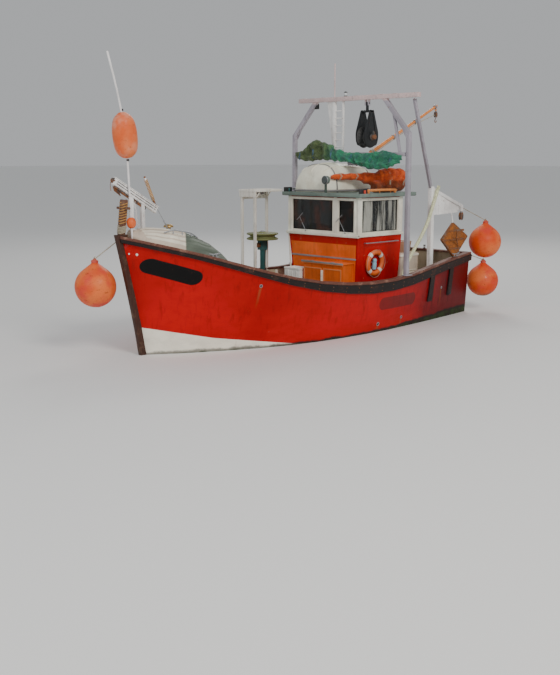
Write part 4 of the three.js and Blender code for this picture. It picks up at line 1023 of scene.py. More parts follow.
# lumps, pleats and small bumps, pushed out along the normals
def lumps(piece, depth, seed, pleat):
    shift = Vector((seed * 3.1, seed * 1.7, seed * 2.3))
    normals = [v.normal.copy() for v in piece.data.vertices]
    for v, n in zip(piece.data.vertices, normals):
        big = noise.noise(v.co * 4.5 + shift)
        fold = math.sin(v.co.dot(Vector(pleat)) + 5 * noise.noise(v.co * 2.2 + shift))
        small = noise.noise(v.co * 17 + shift * 2)
        v.co += n * depth * (big * 0.8 + fold * 0.34 + small * 0.40 - 0.50)


netBundle = bundle("hung_net", "net_green", 0.044, 3, 0.062, 0.0065, (0, 24, 6))
rollBundle = bundle("net_roll", "net_orange", 0.026, 8, 0.055, 0.0060, (21, 0, 9))


# rope drawn round a bundle, on its surface
def tieRound(piece, centre, axisA, axisB, thick, turns=2, lean=0.02):
    tree = treeOf(piece)
    a, b = Vector(axisA), Vector(axisB)
    points = []
    for i in range(28 * turns + 1):
        angle = math.tau * i / 28
        here = Vector(centre) + a.cross(b) * (lean * (i / 28 - turns / 2))
        out = a * math.cos(angle) + b * math.sin(angle)
        hit = tree.ray_cast(here + out * 0.9, -out)[0]
        reach = (hit - here).length if hit and (hit - here).length < 0.5 else 0.18
        points.append(here + out * (reach + thick * 0.35))
    for _ in range(3):
        eased = [(p + q * 2 + r) / 4 for p, q, r in zip(points, points[1:], points[2:])]
        points = [points[0]] + eased + [points[-1]]
    return rope(points, thick)


ties = [tieRound(netBundle, (-1.465, y, z), (1, 0, 0), (0, 0, 1), 0.0085)
        for y, z in ((-1.50, 3.95), (-1.02, 4.02), (-0.42, 3.95), (0.20, 3.90), (0.78, 3.88), (1.38, 3.86))]
keep(ties, "hung_net_ties", "ropeBlue")
ties = [tieRound(rollBundle, (x, y, z), (0, 1, 0), (0, 0, 1), 0.0085)
        for x, y, z in ((-1.08, 0.165, 3.472), (-1.46, 0.335, 3.464), (-2.02, 0.78, 3.40),
                        (-2.40, 0.93, 3.41))]
keep(ties, "net_roll_ties", "ropePale")
print("nets made")

# upturned dinghy: moulded shell, rubber gunwale, keel and bilge strips
roofTop = 3.1053
dinghy = {"y": -0.45, "rim": roofTop + 0.045, "rimRadius": 0.026}
dinghyRows = [(-0.74, 0.47, 0.40), (-0.82, 0.56, 0.55), (-1.05, 0.60, 0.665), (-1.45, 0.605, 0.690),
              (-1.90, 0.590, 0.670), (-2.40, 0.500, 0.600), (-2.80, 0.330, 0.440), (-2.96, 0.140, 0.250)]
fineRows = smoothPath(dinghyRows, 5)


def dinghyLoop(row, grow=0.0):
    x, half, deep = row
    points = []
    for k in range(29):
        a = math.pi * k / 28
        c, t = math.cos(a), math.sin(a)
        points.append((x, dinghy["y"] + math.copysign(abs(c) ** 0.76, c) * (half - 0.012 + grow),
                       roofTop + 0.004 + max(0.0, (deep - 0.010 + grow) * abs(t) ** 0.78)))
    return points


shell = skin([dinghyLoop(r) for r in fineRows])
modify(shell, "BEVEL", width=0.010, segments=2, limit_method="ANGLE", angle_limit=math.radians(40))
keep(shaded(shell, 45), "upturned_dinghy_shell", "dinghy_cream", replaced=("upturned_dinghy",))
gunwale = [[(r.x, dinghy["y"] + s * (r.y - 0.002), dinghy["rim"]) for r in fineRows] for s in (-1, 1)]
gunwale += [[(row.x, dinghy["y"] + s * (row.y - 0.004), dinghy["rim"]) for s in (-1, 1)]
            for row in (fineRows[0], fineRows[-1])]
keep([pipe(path, dinghy["rimRadius"], 12) for path in gunwale], "dinghy_gunwale", "greyTrim")
strips = [pipe([(r.x, dinghy["y"], roofTop + r.z - 0.006) for r in fineRows[3:-2]], 0.014, 10)]
strips += [pipe([(r.x, dinghy["y"] + s * r.y * 0.62, roofTop + r.z * 0.885 - 0.004) for r in fineRows[5:-6]],
                0.010, 8) for s in (-1, 1)]
keep(strips, "dinghy_keel_strips", "dinghy_cream")

# basket of woven strips
basket = {"centre": (-2.72, 0.82), "low": 1.642, "high": 1.905, "foot": 0.160, "mouth": 0.198, "ribs": 26,
          "rows": 11}
cx, cy = basket["centre"]


def basketPoint(a, t, wave):
    r = mix(basket["foot"], basket["mouth"], t) + wave
    return (cx + r * math.cos(a), cy + r * math.sin(a), mix(basket["low"], basket["high"], t))


weave = []
for k, a in enumerate(around(basket["ribs"])):
    waves = [0.004 * math.sin(i / 12 * math.pi * basket["rows"] + k * math.pi) for i in range(13)]
    weave.append(pipe([basketPoint(a, i / 12, wave) for i, wave in enumerate(waves)], 0.0065, 6))
for j in range(basket["rows"]):
    weave.append(pipe([basketPoint(a, (j + 0.5) / basket["rows"],
                                   0.006 * math.sin(a * basket["ribs"] / 2 + j * math.pi))
                       for a in around(104)], 0.0085, 6, True))
for z, r, thick in ((basket["high"] - 0.006, basket["mouth"], 0.011),
                    (basket["low"] + 0.010, basket["foot"], 0.010)):
    weave.append(ring((cx, cy, z), (0, 0, 1), r, thick, 52, 10))
weave.append(lathe([(0.0, 0.0), (basket["foot"], 0.0), (basket["foot"], 0.010), (0.0, 0.012)],
                   (cx, cy, basket["low"]), (0, 0, 1)))
keep(weave, "fish_basket_weave", "basket_tan", replaced=("fish_basket",))
print("dinghy and basket made")


# a straight bar with its two sizes, between any two points
def batten(start, end, wide, high, up=(0, 0, 1), edge=0.003, steps=2):
    a, b = Vector(start), Vector(end)
    along = (b - a).normalized()
    across = Vector(up).cross(along).normalized() * (wide / 2)
    top = along.cross(across).normalized() * (high / 2)
    return soften(skin([[p - across - top, p + across - top, p + across + top, p - across + top]
                        for p in (a, b)]), edge, steps)


def plateOf(points, shift, edge=0.003):
    shift = Vector(shift) / 2
    return soften(skin([[Vector(p) - shift for p in points], [Vector(p) + shift for p in points]]), edge)


# a block's round cheek, across the boat
def cheekAt(centre, wide, high, thick, count):
    return plateOf([Vector(centre) + Vector((wide * math.cos(a), 0, high * math.sin(a)))
                    for a in around(count)], (0, thick, 0))


# chain laid along points, link by link
def chain(points, pitch=0.046, wire=0.0065):
    path = smoothPath(points, 12)
    links, gone, due = [], 0.0, 0.0
    for a, b in zip(path, path[1:]):
        step = (b - a).length
        while due <= gone + step:
            links.append((a.lerp(b, (due - gone) / step), (b - a).normalized()))
            due += pitch
        gone += step
    made = []
    for k, (here, along) in enumerate(links):
        side = along.orthogonal().normalized()
        side = side if k % 2 else along.cross(side)
        long, half = pitch * 0.5 - wire * 0.2, pitch * 0.34
        loop = [here + along * (long * math.copysign(abs(math.cos(a)) ** 0.8, math.cos(a)))
                + side * (half * math.sin(a)) for a in around(14)]
        made.append(pipe(loop, wire, 8, True))
    return weld(made)


def boltAt(place, out, radius=0.011, high=0.006):
    return lathe([(radius, -0.002), (radius, high * 0.4), (radius * 0.75, high * 0.85), (0.0, high)], place,
                 out, 10)


hullTree, strakeTree, railTree, foredeckTree = [
    treeOf(nodes[name]) for name in ("hull", "rubbing_strake", "capping_rail", "foredeck")]


# where a ray meets a piece, and which way the face there looks
def cast(tree, origin, direction):
    return tree.ray_cast(Vector(origin), Vector(direction))[:2]


# bulwark stanchions, inside the hull
stanchions = []
stations = (2.95, 2.40, 1.85, 1.30, 0.75, 0.20, -0.35, -0.90, -1.40, -1.95, -2.50, -3.55, -4.10)
for s in (-1, 1):
    for x in stations:
        foot = cast(hullTree, (x, s * 0.9, 5), (0, 0, -1))[0]
        top = line(railLine, shareAt(x, 1.2)) - 0.02
        loops = []
        for k in range(6):
            z = mix(foot.z + 0.012, top, k / 5)
            # where the ray meets no wall, the width below it is kept
            wall = cast(hullTree, (x, 0, z), (0, s, 0))[0]
            y = wall.y if wall else y
            outer, inner = y + s * 0.012, y - s * mix(0.075, 0.050, k / 5)
            loops.append([(x - 0.032, outer, z), (x - 0.032, inner, z), (x + 0.032, inner, z),
                          (x + 0.032, outer, z)])
        stanchions.append(soften(skin(loops), 0.006))
keep(stanchions, "bulwark_stanchions", "frameCream")

# what sits on the outside of the hull: outlets, bolts through the strake, two studs at the stem
strakeDepth = [[0, 0.062], [0.2, 0.090], [0.42, 0.170], [0.55, 0.205], [0.75, 0.190], [1, 0.150]]
rims, holes, bolts, studs = [], [], [], []
for s in (-1, 1):
    for x, z, r in outlets:
        place, out = cast(hullTree, (x, s * 4, z), (0, -s, 0))
        rims.append(ring(place + out * 0.002, out, r + 0.005, 0.007, 28, 10))
        holes.append(lathe([(0.0, -0.004), (r, -0.004), (r, 0.0018), (0.0, 0.0018)], place, out, 24))
    for k in range(24):
        x = 4.55 - 0.40 * k
        share = shareAt(x, 1.3)
        deep = line(strakeDepth, share)
        for part in (0.5,) if deep < 0.11 else (0.27, 0.73):
            z = line(railLine, share) - 0.018 - deep * part
            place, out = cast(strakeTree, (x, s * 4, z), (0, -s, 0))
            if place:
                bolts.append(boltAt(place, out))
    for x, z, r in ((4.925, 2.068, 0.017), (4.815, 2.052, 0.025)):
        place, out = cast(hullTree, (x, s * 4, z), (0, -s, 0))
        studs.append(lathe([(r, -0.004), (r, 0.006), (r * 0.76, 0.012), (0.0, 0.015)], place, out, 24))
keep(studs, "stem_studs", "frameCream")
keep(rims, "hull_outlet_rims", "galvanised")
keep(holes, "hull_outlet_holes", "blackRubber")
keep(bolts, "strake_bolts", "rusty_steel")

# cleats on the rail
cleats = []
for x in (3.60, -3.95):
    for s in (-1, 1):
        y = s * (line(railHalf, shareAt(x, 1.4)) - 0.035)
        top = cast(railTree, (x, y, 5), (0, 0, -1))[0].z
        horn = [(x + dx, y, top + up) for dx, up in
                ((-0.145, 0.078), (-0.09, 0.066), (0, 0.062), (0.09, 0.066), (0.145, 0.078))]
        cleats.append(bent(horn, 4, 0.016, 12))
        cleats += [rod((x + d, y, top - 0.004), (x + d, y, top + 0.062), 0.017, 16, 0.004, 0.014)
                   for d in (-0.045, 0.045)]
        cleats.append(batten((x - 0.10, y, top + 0.004), (x + 0.10, y, top + 0.004), 0.060, 0.012))
keep(cleats, "rail_cleats", "galvanised")
print("hull fittings made")

# mooring post: rope belayed round it in close turns
post = {"foot": Vector((5.045, 0, 2.300)), "head": Vector((4.937, 0, 3.110)), "half": 0.056, "height": 0.810}


def turnsOn(low, high, turns, radius):
    points = []
    for i in range(turns * 28 + 1):
        a = math.tau * i / 28
        z = mix(low, high, i / (turns * 28))
        centre = post["foot"].lerp(post["head"], (z - post["foot"].z) / post["height"])
        out = [math.copysign(abs(v) ** 0.6, v) * (post["half"] + radius) for v in (math.cos(a), math.sin(a))]
        points.append(Vector((centre.x + out[0], out[1], z - 0.13 * out[0])))
    return rope(points, radius)


keep(turnsOn(2.475, 2.620, 5, 0.0135), "mooring_post_turns", "ropePale")
keep(turnsOn(2.665, 3.070, 8, 0.0115), "mooring_post_upper_turns", "ropeTan")
keep(rod((4.9345, 0, 3.104), (4.933, 0, 3.122), 0.060, 32, 0.006), "mooring_post_cap", "galvanised")

# bow davit: flanges, wire, sheave at the head, anchor stowed under it, chain and stay
davit = {"low": Vector((4.170, 0, 2.890)), "run": Vector((0.8613, 0, 0.5081)),
         "up": Vector((-0.5081, 0, 0.8613)), "wire": 0.0055}


# a place on the davit: how far along it, above its middle and to port
def onDavit(t, up=0.0, y=0.0):
    return davit["low"] + davit["run"] * t + davit["up"] * up + Vector((0, y, 0))


flanges = [batten(onDavit(-0.012, up), onDavit(1.172, up), 0.096, 0.012, davit["up"])
           for up in (-0.066, 0.066)]
for t in (0.10, 0.36, 0.62, 0.88, 1.10):
    flanges.append(batten(onDavit(t, -0.060), onDavit(t, 0.060), 0.084, 0.010, davit["run"], 0.002))
for x, z in ((4.765, 2.52), (4.510, 2.53)):
    flanges.append(batten((x - 0.07, 0, z), (x + 0.07, 0, z), 0.13, 0.014))
keep(flanges, "davit_flanges", "pale_steel")
wires = [pipe([onDavit(0.03, up, 0.036), onDavit(1.10, up, 0.036)], davit["wire"]) for up in (-0.022, 0.024)]
wires.append(bent([onDavit(1.13, 0.05, 0), onDavit(1.20, 0.02, 0), onDavit(1.19, -0.09, 0),
                   onDavit(1.12, -0.20, 0)], 6, davit["wire"], 8))
keep(wires, "davit_wires", "darkSteel")
keep([lathe(mirrored([(0.036, 0.006), (0.052, 0.018), (0.050, 0.022), (0.0, 0.022)]), onDavit(1.165),
            (0, 1, 0), 32), rod(onDavit(1.165, 0.0, -0.055), onDavit(1.165, 0.0, 0.055), 0.012, 16)],
     "davit_sheave", "darkSteel")
anchor = [batten(onDavit(0.30, -0.105), onDavit(1.10, -0.105), 0.028, 0.052, davit["up"], 0.006),
          eyeAt(onDavit(0.27, -0.105), (0, 1, 0), 0.030)]
for s in (-1, 1):
    fluke = [onDavit(1.12, -0.10, s * 0.010), onDavit(0.98, -0.12, s * 0.125),
             onDavit(0.78, -0.13, s * 0.150), onDavit(0.93, -0.10, s * 0.040)]
    anchor.append(plateOf(fluke, davit["up"] * 0.016, 0.004))
keep(anchor, "bow_anchor", "darkSteel")
keep(chain([(4.700, 0.0, 3.060), (4.672, 0.010, 2.900), (4.668, 0.015, 2.740), (4.640, 0.020, 2.620),
            (4.590, 0.030, 2.560)]), "davit_chain", "pale_steel")


def deckAt(x, y):
    return cast(foredeckTree, (x, y, 5), (0, 0, -1))[0]


foot, tail = deckAt(3.86, 0.0), onDavit(0.03, 0.05)
stay = [pipe([tail, foot.lerp(tail, 0.42)], 0.006),
        rod(foot.lerp(tail, 0.42), foot.lerp(tail, 0.14), 0.013, 16, 0.004),
        rod(foot, foot.lerp(tail, 0.16), 0.007, 12), eyeAt(foot + rise(0.016), (0, 1, 0), 0.022, 0.007)]
keep(stay, "davit_stay", "galvanised")

# hand staff in a socket on the davit's tail, wound with rope
staff = {"foot": onDavit(0.055, 0.060), "head": Vector((4.430, 0, 3.530)), "radius": 0.020, "turns": 15}
staffRun = (staff["head"] - staff["foot"]).normalized()
staffSide = Vector((staffRun.z, 0, -staffRun.x))
socket = [(0.034, 0.0), (0.034, 0.010), (0.024, 0.016), (0.024, 0.110), (0.019, 0.116)]
tip = [(0.0, 0.0), (0.021, 0.006), (0.022, 0.022), (0.012, 0.034), (0.0, 0.036)]
keep([lathe(socket, staff["foot"], staffRun, 28), lathe(tip, staff["head"] - staffRun * 0.014, staffRun, 24)],
     "davit_staff_fittings", "darkSteel")
keep(rod(staff["foot"], staff["head"], staff["radius"], 16, 0.002), "davit_staff", "pole_white")
winding = []
for i in range(24 * staff["turns"] + 1):
    a = math.tau * i / 24
    here = staff["foot"].lerp(staff["head"], mix(0.20, 0.93, i / (24 * staff["turns"])))
    winding.append(here + (staffSide * math.cos(a) + Vector((0, 1, 0)) * math.sin(a))
                   * (staff["radius"] + 0.006))
keep(rope(winding, 0.011), "davit_staff_winding", "ropeTan")

# foredeck: battens along the crown, handrails, vent, small float at the marker pole's foot
battens = []
for share in (-0.80, -0.60, -0.40, -0.20, 0.0, 0.20, 0.40, 0.60, 0.80):
    loops = []
    for k in range(15):
        x = mix(4.62, 3.40, k / 14)
        half = line(railHalf, shareAt(x, 2.1)) - 0.110
        y = share * half
        slope = (deckAt(x, y + 0.02).z - deckAt(x, y - 0.02).z) / 0.04
        z = deckAt(x, y).z
        wide = 0.5 * 0.074 * min(1, half / 0.7)
        loops.append([(x, y + side * wide, z + side * slope * wide + up)
                      for side, up in ((-1, -0.004), (1, -0.004), (1, 0.012), (-1, 0.012))])
    battens.append(soften(skin(loops), 0.003, 1))
keep(battens, "foredeck_battens", "battenCream")
rails = []
for s in (-1, 1):
    feet = [deckAt(x, s * 0.47 * (1 - (x - 3.5) * 0.35)) for x in (4.25, 4.05, 3.85, 3.65, 3.50)]
    tops = [foot + rise(0.075) for foot in feet]
    tops[0].z -= 0.05
    tops[-1].z -= 0.05
    rails.append(bent(tops, 6, 0.014, 12))
    rails += [rod(foot - rise(0.01), foot + rise(0.075), 0.012, 12) for foot in feet[1:-1]]
keep(rails, "foredeck_handrails", "galvanised")
profile = [(0.07, -0.02), (0.07, 0.02), (0.045, 0.03), (0.045, 0.085), (0.075, 0.085), (0.100, 0.080),
           (0.102, 0.095), (0.085, 0.125), (0.045, 0.140), (0.0, 0.143)]
keep(lathe(profile, deckAt(3.70, -0.22), (0, 0, 1)), "foredeck_vent", "bronze")
profile = curvePoints([(0.03, -0.104), (0.072, -0.075), (0.092, 0.0), (0.072, 0.075), (0.03, 0.104)], 5)
keep(lathe([(0.0, -0.105)] + profile + [(0.0, 0.105)], (4.846, 0.09, 2.665), (0.04, 0, 1), 32),
     "marker_foot_float", "float_orange")
print("bow gear made")

# hatch: straps, lifting rings, dogs
strapTop = 1.0545
straps, dogs = [], []
for x in (2.24, 2.66):
    straps.append(batten((x, -0.424, strapTop), (x, 0.424, strapTop), 0.050, 0.006, edge=0.002))
    for y in (-0.22, 0.22):
        straps.append(ring((x, y, 1.062), (0, 0.35, 1), 0.036, 0.007, 24, 8))
        straps.append(batten((x - 0.035, y + 0.036, 1.062), (x + 0.035, y + 0.036, 1.062), 0.016, 0.014,
                             edge=0.004))
    straps += [boltAt((x, y, 1.057), (0, 0, 1), 0.010, 0.007) for y in (-0.38, -0.10, 0.10, 0.38)]
    for s in (-1, 1):
        dogs.append(rod((x, s * 0.400, 0.90), (x, s * 0.428, 0.90), 0.016, 16))
        dogs.append(rod((x, s * 0.432, 0.88), (x, s * 0.440, 1.00), 0.008, 12))
dogs += [batten((2.05, y, 0.965), (2.85, y, 0.965), 0.010, 0.030) for y in (-0.404, 0.404)]
keep(straps, "hatch_straps", "galvanised", "hatch_lid")
keep(dogs, "hatch_dogs", "galvanised")

# trawl winch: barrels with warping heads, warp wound on, brakes and gear case
winch = {"at": Vector((1.250, 0, 0.860)), "barrel": 0.102, "wound": 0.168, "turns": 24}
half = [(0.036, 0.068), (0.205, 0.070), (0.215, 0.075), (0.215, 0.090), (0.205, 0.095),
        (winch["barrel"], 0.096), (winch["barrel"], 0.474), (0.205, 0.475), (0.215, 0.480), (0.215, 0.495),
        (0.205, 0.500), (0.040, 0.502), (0.036, 0.510), (0.036, 0.636), (0.078, 0.640), (0.080, 0.650),
        (0.066, 0.668), (0.058, 0.695), (0.062, 0.722), (0.078, 0.744), (0.080, 0.752), (0.074, 0.760),
        (0.0, 0.760)]
keep(lathe(mirrored(half, [(0.036, 0.0)]), winch["at"], (0, 1, 0), 64), "winch_barrels", "rusty_steel",
     "winch_drums", ("winch_drums",))
wound, brakes = [], []
for s in (-1, 1):
    points = [(winch["barrel"], 0.0965)]
    for k in range(winch["turns"]):
        y = mix(0.104, 0.466, k / (winch["turns"] - 1))
        lift = 0.007 * math.sin(k * 1.7) + winch["wound"]
        points += [(lift + up, y + along) for up, along in (
            (-0.004, -0.0068), (0.003, -0.0040), (0.005, 0), (0.003, 0.0040), (-0.004, 0.0068))]
    points.append((winch["barrel"], 0.4735))
    wound.append(lathe([(r, s * y) for r, y in points], winch["at"], (0, 1, 0), 56))
    spindle = Vector((winch["at"].x - 0.305, s * 0.285, 0.70))
    brakes.append(rod(spindle, spindle + Vector((-0.02, 0, 0.26)), 0.011, 16))
    wheel = spindle + Vector((-0.02, 0, 0.27))
    brakes.append(ring(wheel, (-0.08, 0, 1), 0.085, 0.010, 36, 10))
    for a in (0.3, 0.3 + math.pi / 3, 0.3 + 2 * math.pi / 3):
        spoke = Vector((0.084 * math.cos(a), 0.084 * math.sin(a), 0))
        brakes.append(pipe([wheel + spoke, wheel - spoke], 0.007))
    x = winch["at"].x
    brakes.append(batten((x - 0.27, s * 0.285, 0.64), (x - 0.33, s * 0.285, 0.70), 0.05, 0.03))
keep(wound, "winch_warps", "darkSteel", "winch_drums")
keep(brakes, "winch_brakes", "galvanised")
case = [block((1.06, 0.020, 0.610), (1.44, 0.062, 0.735), 0.012, 3)]
for s in (-1, 1):
    case += [boltAt(winch["at"] + Vector((0.17 * math.cos(a), s * 0.576, 0.09 * math.sin(a) - 0.05)),
                    (0, s, 0), 0.012, 0.008) for a in (3.6, 4.2, 4.8, 5.4, 5.9)]
    case.append(batten((0.93, s * 0.56, 0.515), (1.55, s * 0.56, 0.515), 0.085, 0.012))
keep(case, "winch_gear_case", "olive_paint")

# line hauler: a level wheel with a rounded groove, its bolts and cap, motor and pipes on the post
haul = Vector((-0.190, -1.520, 2.005))
profile = [(0.0, -0.180), (0.034, -0.180), (0.036, -0.176), (0.036, -0.056), (0.060, -0.053)]
profile += curvePoints([(0.350, -0.052), (0.370, -0.050), (0.382, -0.042), (0.385, -0.030), (0.381, -0.016),
                        (0.345, 0.000), (0.308, 0.018), (0.302, 0.031), (0.308, 0.044), (0.345, 0.062),
                        (0.381, 0.078), (0.385, 0.092), (0.382, 0.104), (0.370, 0.112), (0.350, 0.114)], 4)
profile += [(0.200, 0.117), (0.098, 0.120), (0.092, 0.124), (0.082, 0.139), (0.074, 0.142), (0.0, 0.142)]
keep(lathe(profile, haul, (0, 0, 1), 72), "hauler_sheave", "olive_paint", "hauler_disc",
     replaced=("hauler_disc",))
studs = [boltAt(haul + Vector((0.24 * math.cos(a), 0.24 * math.sin(a), 0.115)), (0, 0, 1), 0.014, 0.011)
         for a in around(8)]
studs.append(lathe([(0.052, 0.0), (0.050, 0.014), (0.034, 0.026), (0.0, 0.028)], haul + Vector((0, 0, 0.140)),
                   (0, 0, 1), 32))
keep(studs, "hauler_studs", "galvanised", "hauler_disc")
motor = [rod(haul + Vector((0.092, 0, -0.180)), haul + Vector((0.185, 0, -0.180)), 0.055, 32, 0.008),
         block((-0.325, -1.55, 1.765), (-0.283, -1.49, 1.925), 0.006)]
motor += [bent([(-0.304, y, 1.770), (-0.302, y, 1.70), (-0.268, y, 1.59), (-0.266, y, 0.70),
                (-0.28, y, 0.52)], 6, 0.010, 12) for y in (-1.535, -1.505)]
keep(motor, "hauler_motor", "darkSteel")

# canopy: drip edge, seams, knees under the top, side board, lamp
canopy = {"x": (-0.640, 0.260), "y": (-1.860, -1.300), "edge": 3.140, "seam": 3.165, "knee": 2.93,
          "under": 3.10}
(x0, x1), (y0, y1) = canopy["x"], canopy["y"]
z = canopy["edge"]
edges = [batten((x0, y, z), (x1, y, z), 0.016, 0.058, edge=0.004) for y in (y0, y1)]
edges += [batten((x, y0 - 0.008, z), (x, y1 + 0.008, z), 0.016, 0.058, edge=0.004) for x in (x0, x1)]
edges += [batten((x, y0 + 0.005, canopy["seam"]), (x, y1 - 0.005, canopy["seam"]), 0.022, 0.012, edge=0.004)
          for x in (-0.415, -0.19, 0.035)]
for x, y, dx, dy in ((0.22, -1.80, -1, 1), (0.22, -1.345, -1, -1), (-0.60, -1.80, 1, 1)):
    edges.append(batten((x, y, canopy["knee"]), (x + dx * 0.16, y, canopy["under"]), 0.030, 0.022, (0, 1, 0)))
    edges.append(batten((x, y, canopy["knee"]), (x, y + dy * 0.13, canopy["under"]), 0.030, 0.022, (1, 0, 0)))
edges.append(batten((-0.60, -1.846, 3.020), (0.22, -1.846, 3.020), 0.014, 0.180))
edges += [batten((x, -1.838, 2.935), (x, -1.838, 3.105), 0.030, 0.012, (0, 1, 0))
          for x in (-0.40, -0.19, 0.02)]
keep(edges, "canopy_edges", "canopy_cream")
keep(block((-0.28, -1.62, 3.045), (-0.10, -1.54, 3.108), 0.012, 3), "canopy_lamp", "greyTrim")
keep(block((-0.265, -1.612, 3.038), (-0.115, -1.548, 3.052), 0.005), "canopy_lamp_lens", "lampGlass")
print("deck gear made")


# half an outline on the starboard side of a plate, its lowest point, and the mirror image
def mirroredAcross(half, lowest):
    return [(-x, z) for x, z in half[::-1]] + [lowest] + half


# power block: rounded cheeks with ribs and bolts, hanger, motor; rubber-lined sheave with ribs
hoist = {"x": -1.600, "y": 0.560, "axle": 4.390, "cheek": 0.131}
bx, by, bz = hoist["x"], hoist["y"], hoist["axle"]
rim = [(0.110, 4.187), (0.190, 4.215), (0.238, 4.330), (0.244, 4.490), (0.185, 4.670), (0.120, 4.860),
       (0.070, 4.998)]
outline = mirroredAcross(rim, (0.0, 4.185)) + [(0.0, 5.000)]
smoothOutline = [(p.x, p.y) for p in smoothPath([(a, b, 0) for a, b in outline], 3, True)]
cheeks = [block((bx - 0.024, by - 0.029, 4.960), (bx + 0.024, by + 0.029, 5.184), 0.008, 3),
          rod((bx, by - 0.068, 5.160), (bx, by + 0.068, 5.160), 0.013, 20),
          block((bx - 0.060, by - 0.140, 4.950), (bx + 0.060, by + 0.140, 5.000), 0.010, 3)]
boss = [(0.085, 0.0), (0.085, 0.010), (0.060, 0.022), (0.034, 0.026), (0.0, 0.027)]
for s in (-1, 1):
    y = by + s * hoist["cheek"]
    cheeks.append(plateOf([(bx + x, y, z) for x, z in smoothOutline], (0, 0.018, 0), 0.004))
    cheeks += [batten((bx + t * 0.045, y + s * 0.012, 4.93), (bx + t * 0.150, y + s * 0.012, 4.46), 0.026,
                      0.014, (0, 1, 0)) for t in (-1, 1)]
    cheeks.append(lathe(boss, (bx, y + s * 0.008, bz), (0, s, 0)))
    cheeks += [boltAt((bx + 0.068 * math.cos(a), y + s * 0.017, bz + 0.068 * math.sin(a)), (0, s, 0), 0.009,
                      0.008) for a in around(6)]
    cheeks += [boltAt((bx + x, y + s * 0.009, z), (0, s, 0), 0.010, 0.008)
               for x, z in ((-0.19, 4.31), (0.19, 4.31), (-0.05, 4.90), (0.05, 4.90))]
cheeks += [rod((bx + x, by - 0.130, 4.225), (bx + x, by + 0.130, 4.225), 0.017, 16) for x in (-0.185, 0.185)]
keep(cheeks, "power_block_cheeks", "block_black", "block_frame", ("power_block_frame",))
profile = [(0.078, 0.0), (0.080, 0.012), (0.062, 0.020), (0.060, 0.088), (0.052, 0.098), (0.0, 0.100)]
motor = [lathe(profile, (bx, by + 0.158, bz), (0, 1, 0)),
         block((bx - 0.030, by + 0.170, bz + 0.050), (bx + 0.030, by + 0.225, bz + 0.110), 0.006)]
motor += [rod((bx + x, by + 0.198, bz + 0.108), (bx + x, by + 0.198, bz + 0.136), 0.011, 16)
          for x in (-0.015, 0.015)]
keep(motor, "power_block_motor", "darkSteel", "block_frame")
profile = mirrored([(0.117, 0.026), (0.135, 0.038), (0.246, 0.092), (0.252, 0.098), (0.250, 0.103),
                    (0.238, 0.107), (0.022, 0.112), (0.022, 0.150), (0.0, 0.150)], [(0.115, 0.0)])
wheel = [lathe(profile, (bx, by, bz), (0, 1, 0), 64)]
for a in around(16):
    for s in (-1, 1):
        inner, outer = [(bx + r * math.cos(a), by + s * y, bz + r * math.sin(a))
                        for r, y in ((0.132, 0.033), (0.240, 0.087))]
        wheel.append(batten(inner, outer, 0.014, 0.012, (0, 1, 0.01), 0.003, 1))
keep(wheel, "power_block_wheel", "block_rubber", "block_sheave", ("power_block_sheave",))

# trawl doors: edge irons, straps, bolts, towing bail
door = {"at": (-3.950, 1.462, 1.890), "lean": math.radians(5.4), "straps": (-0.20, 0.02, 0.24)}
doorCorners = [(0.545, 0.045), (0.030, 0.440), (-0.550, 0.075), (0.050, -0.430)]


# a place on the door of side s: forward, up its leaning plane and square to it
def onDoor(s, u, v, w):
    a = door["lean"] * s
    x, y, z = door["at"]
    return Vector((x + u, s * y + w * math.cos(a) - v * math.sin(a), z + w * math.sin(a) + v * math.cos(a)))


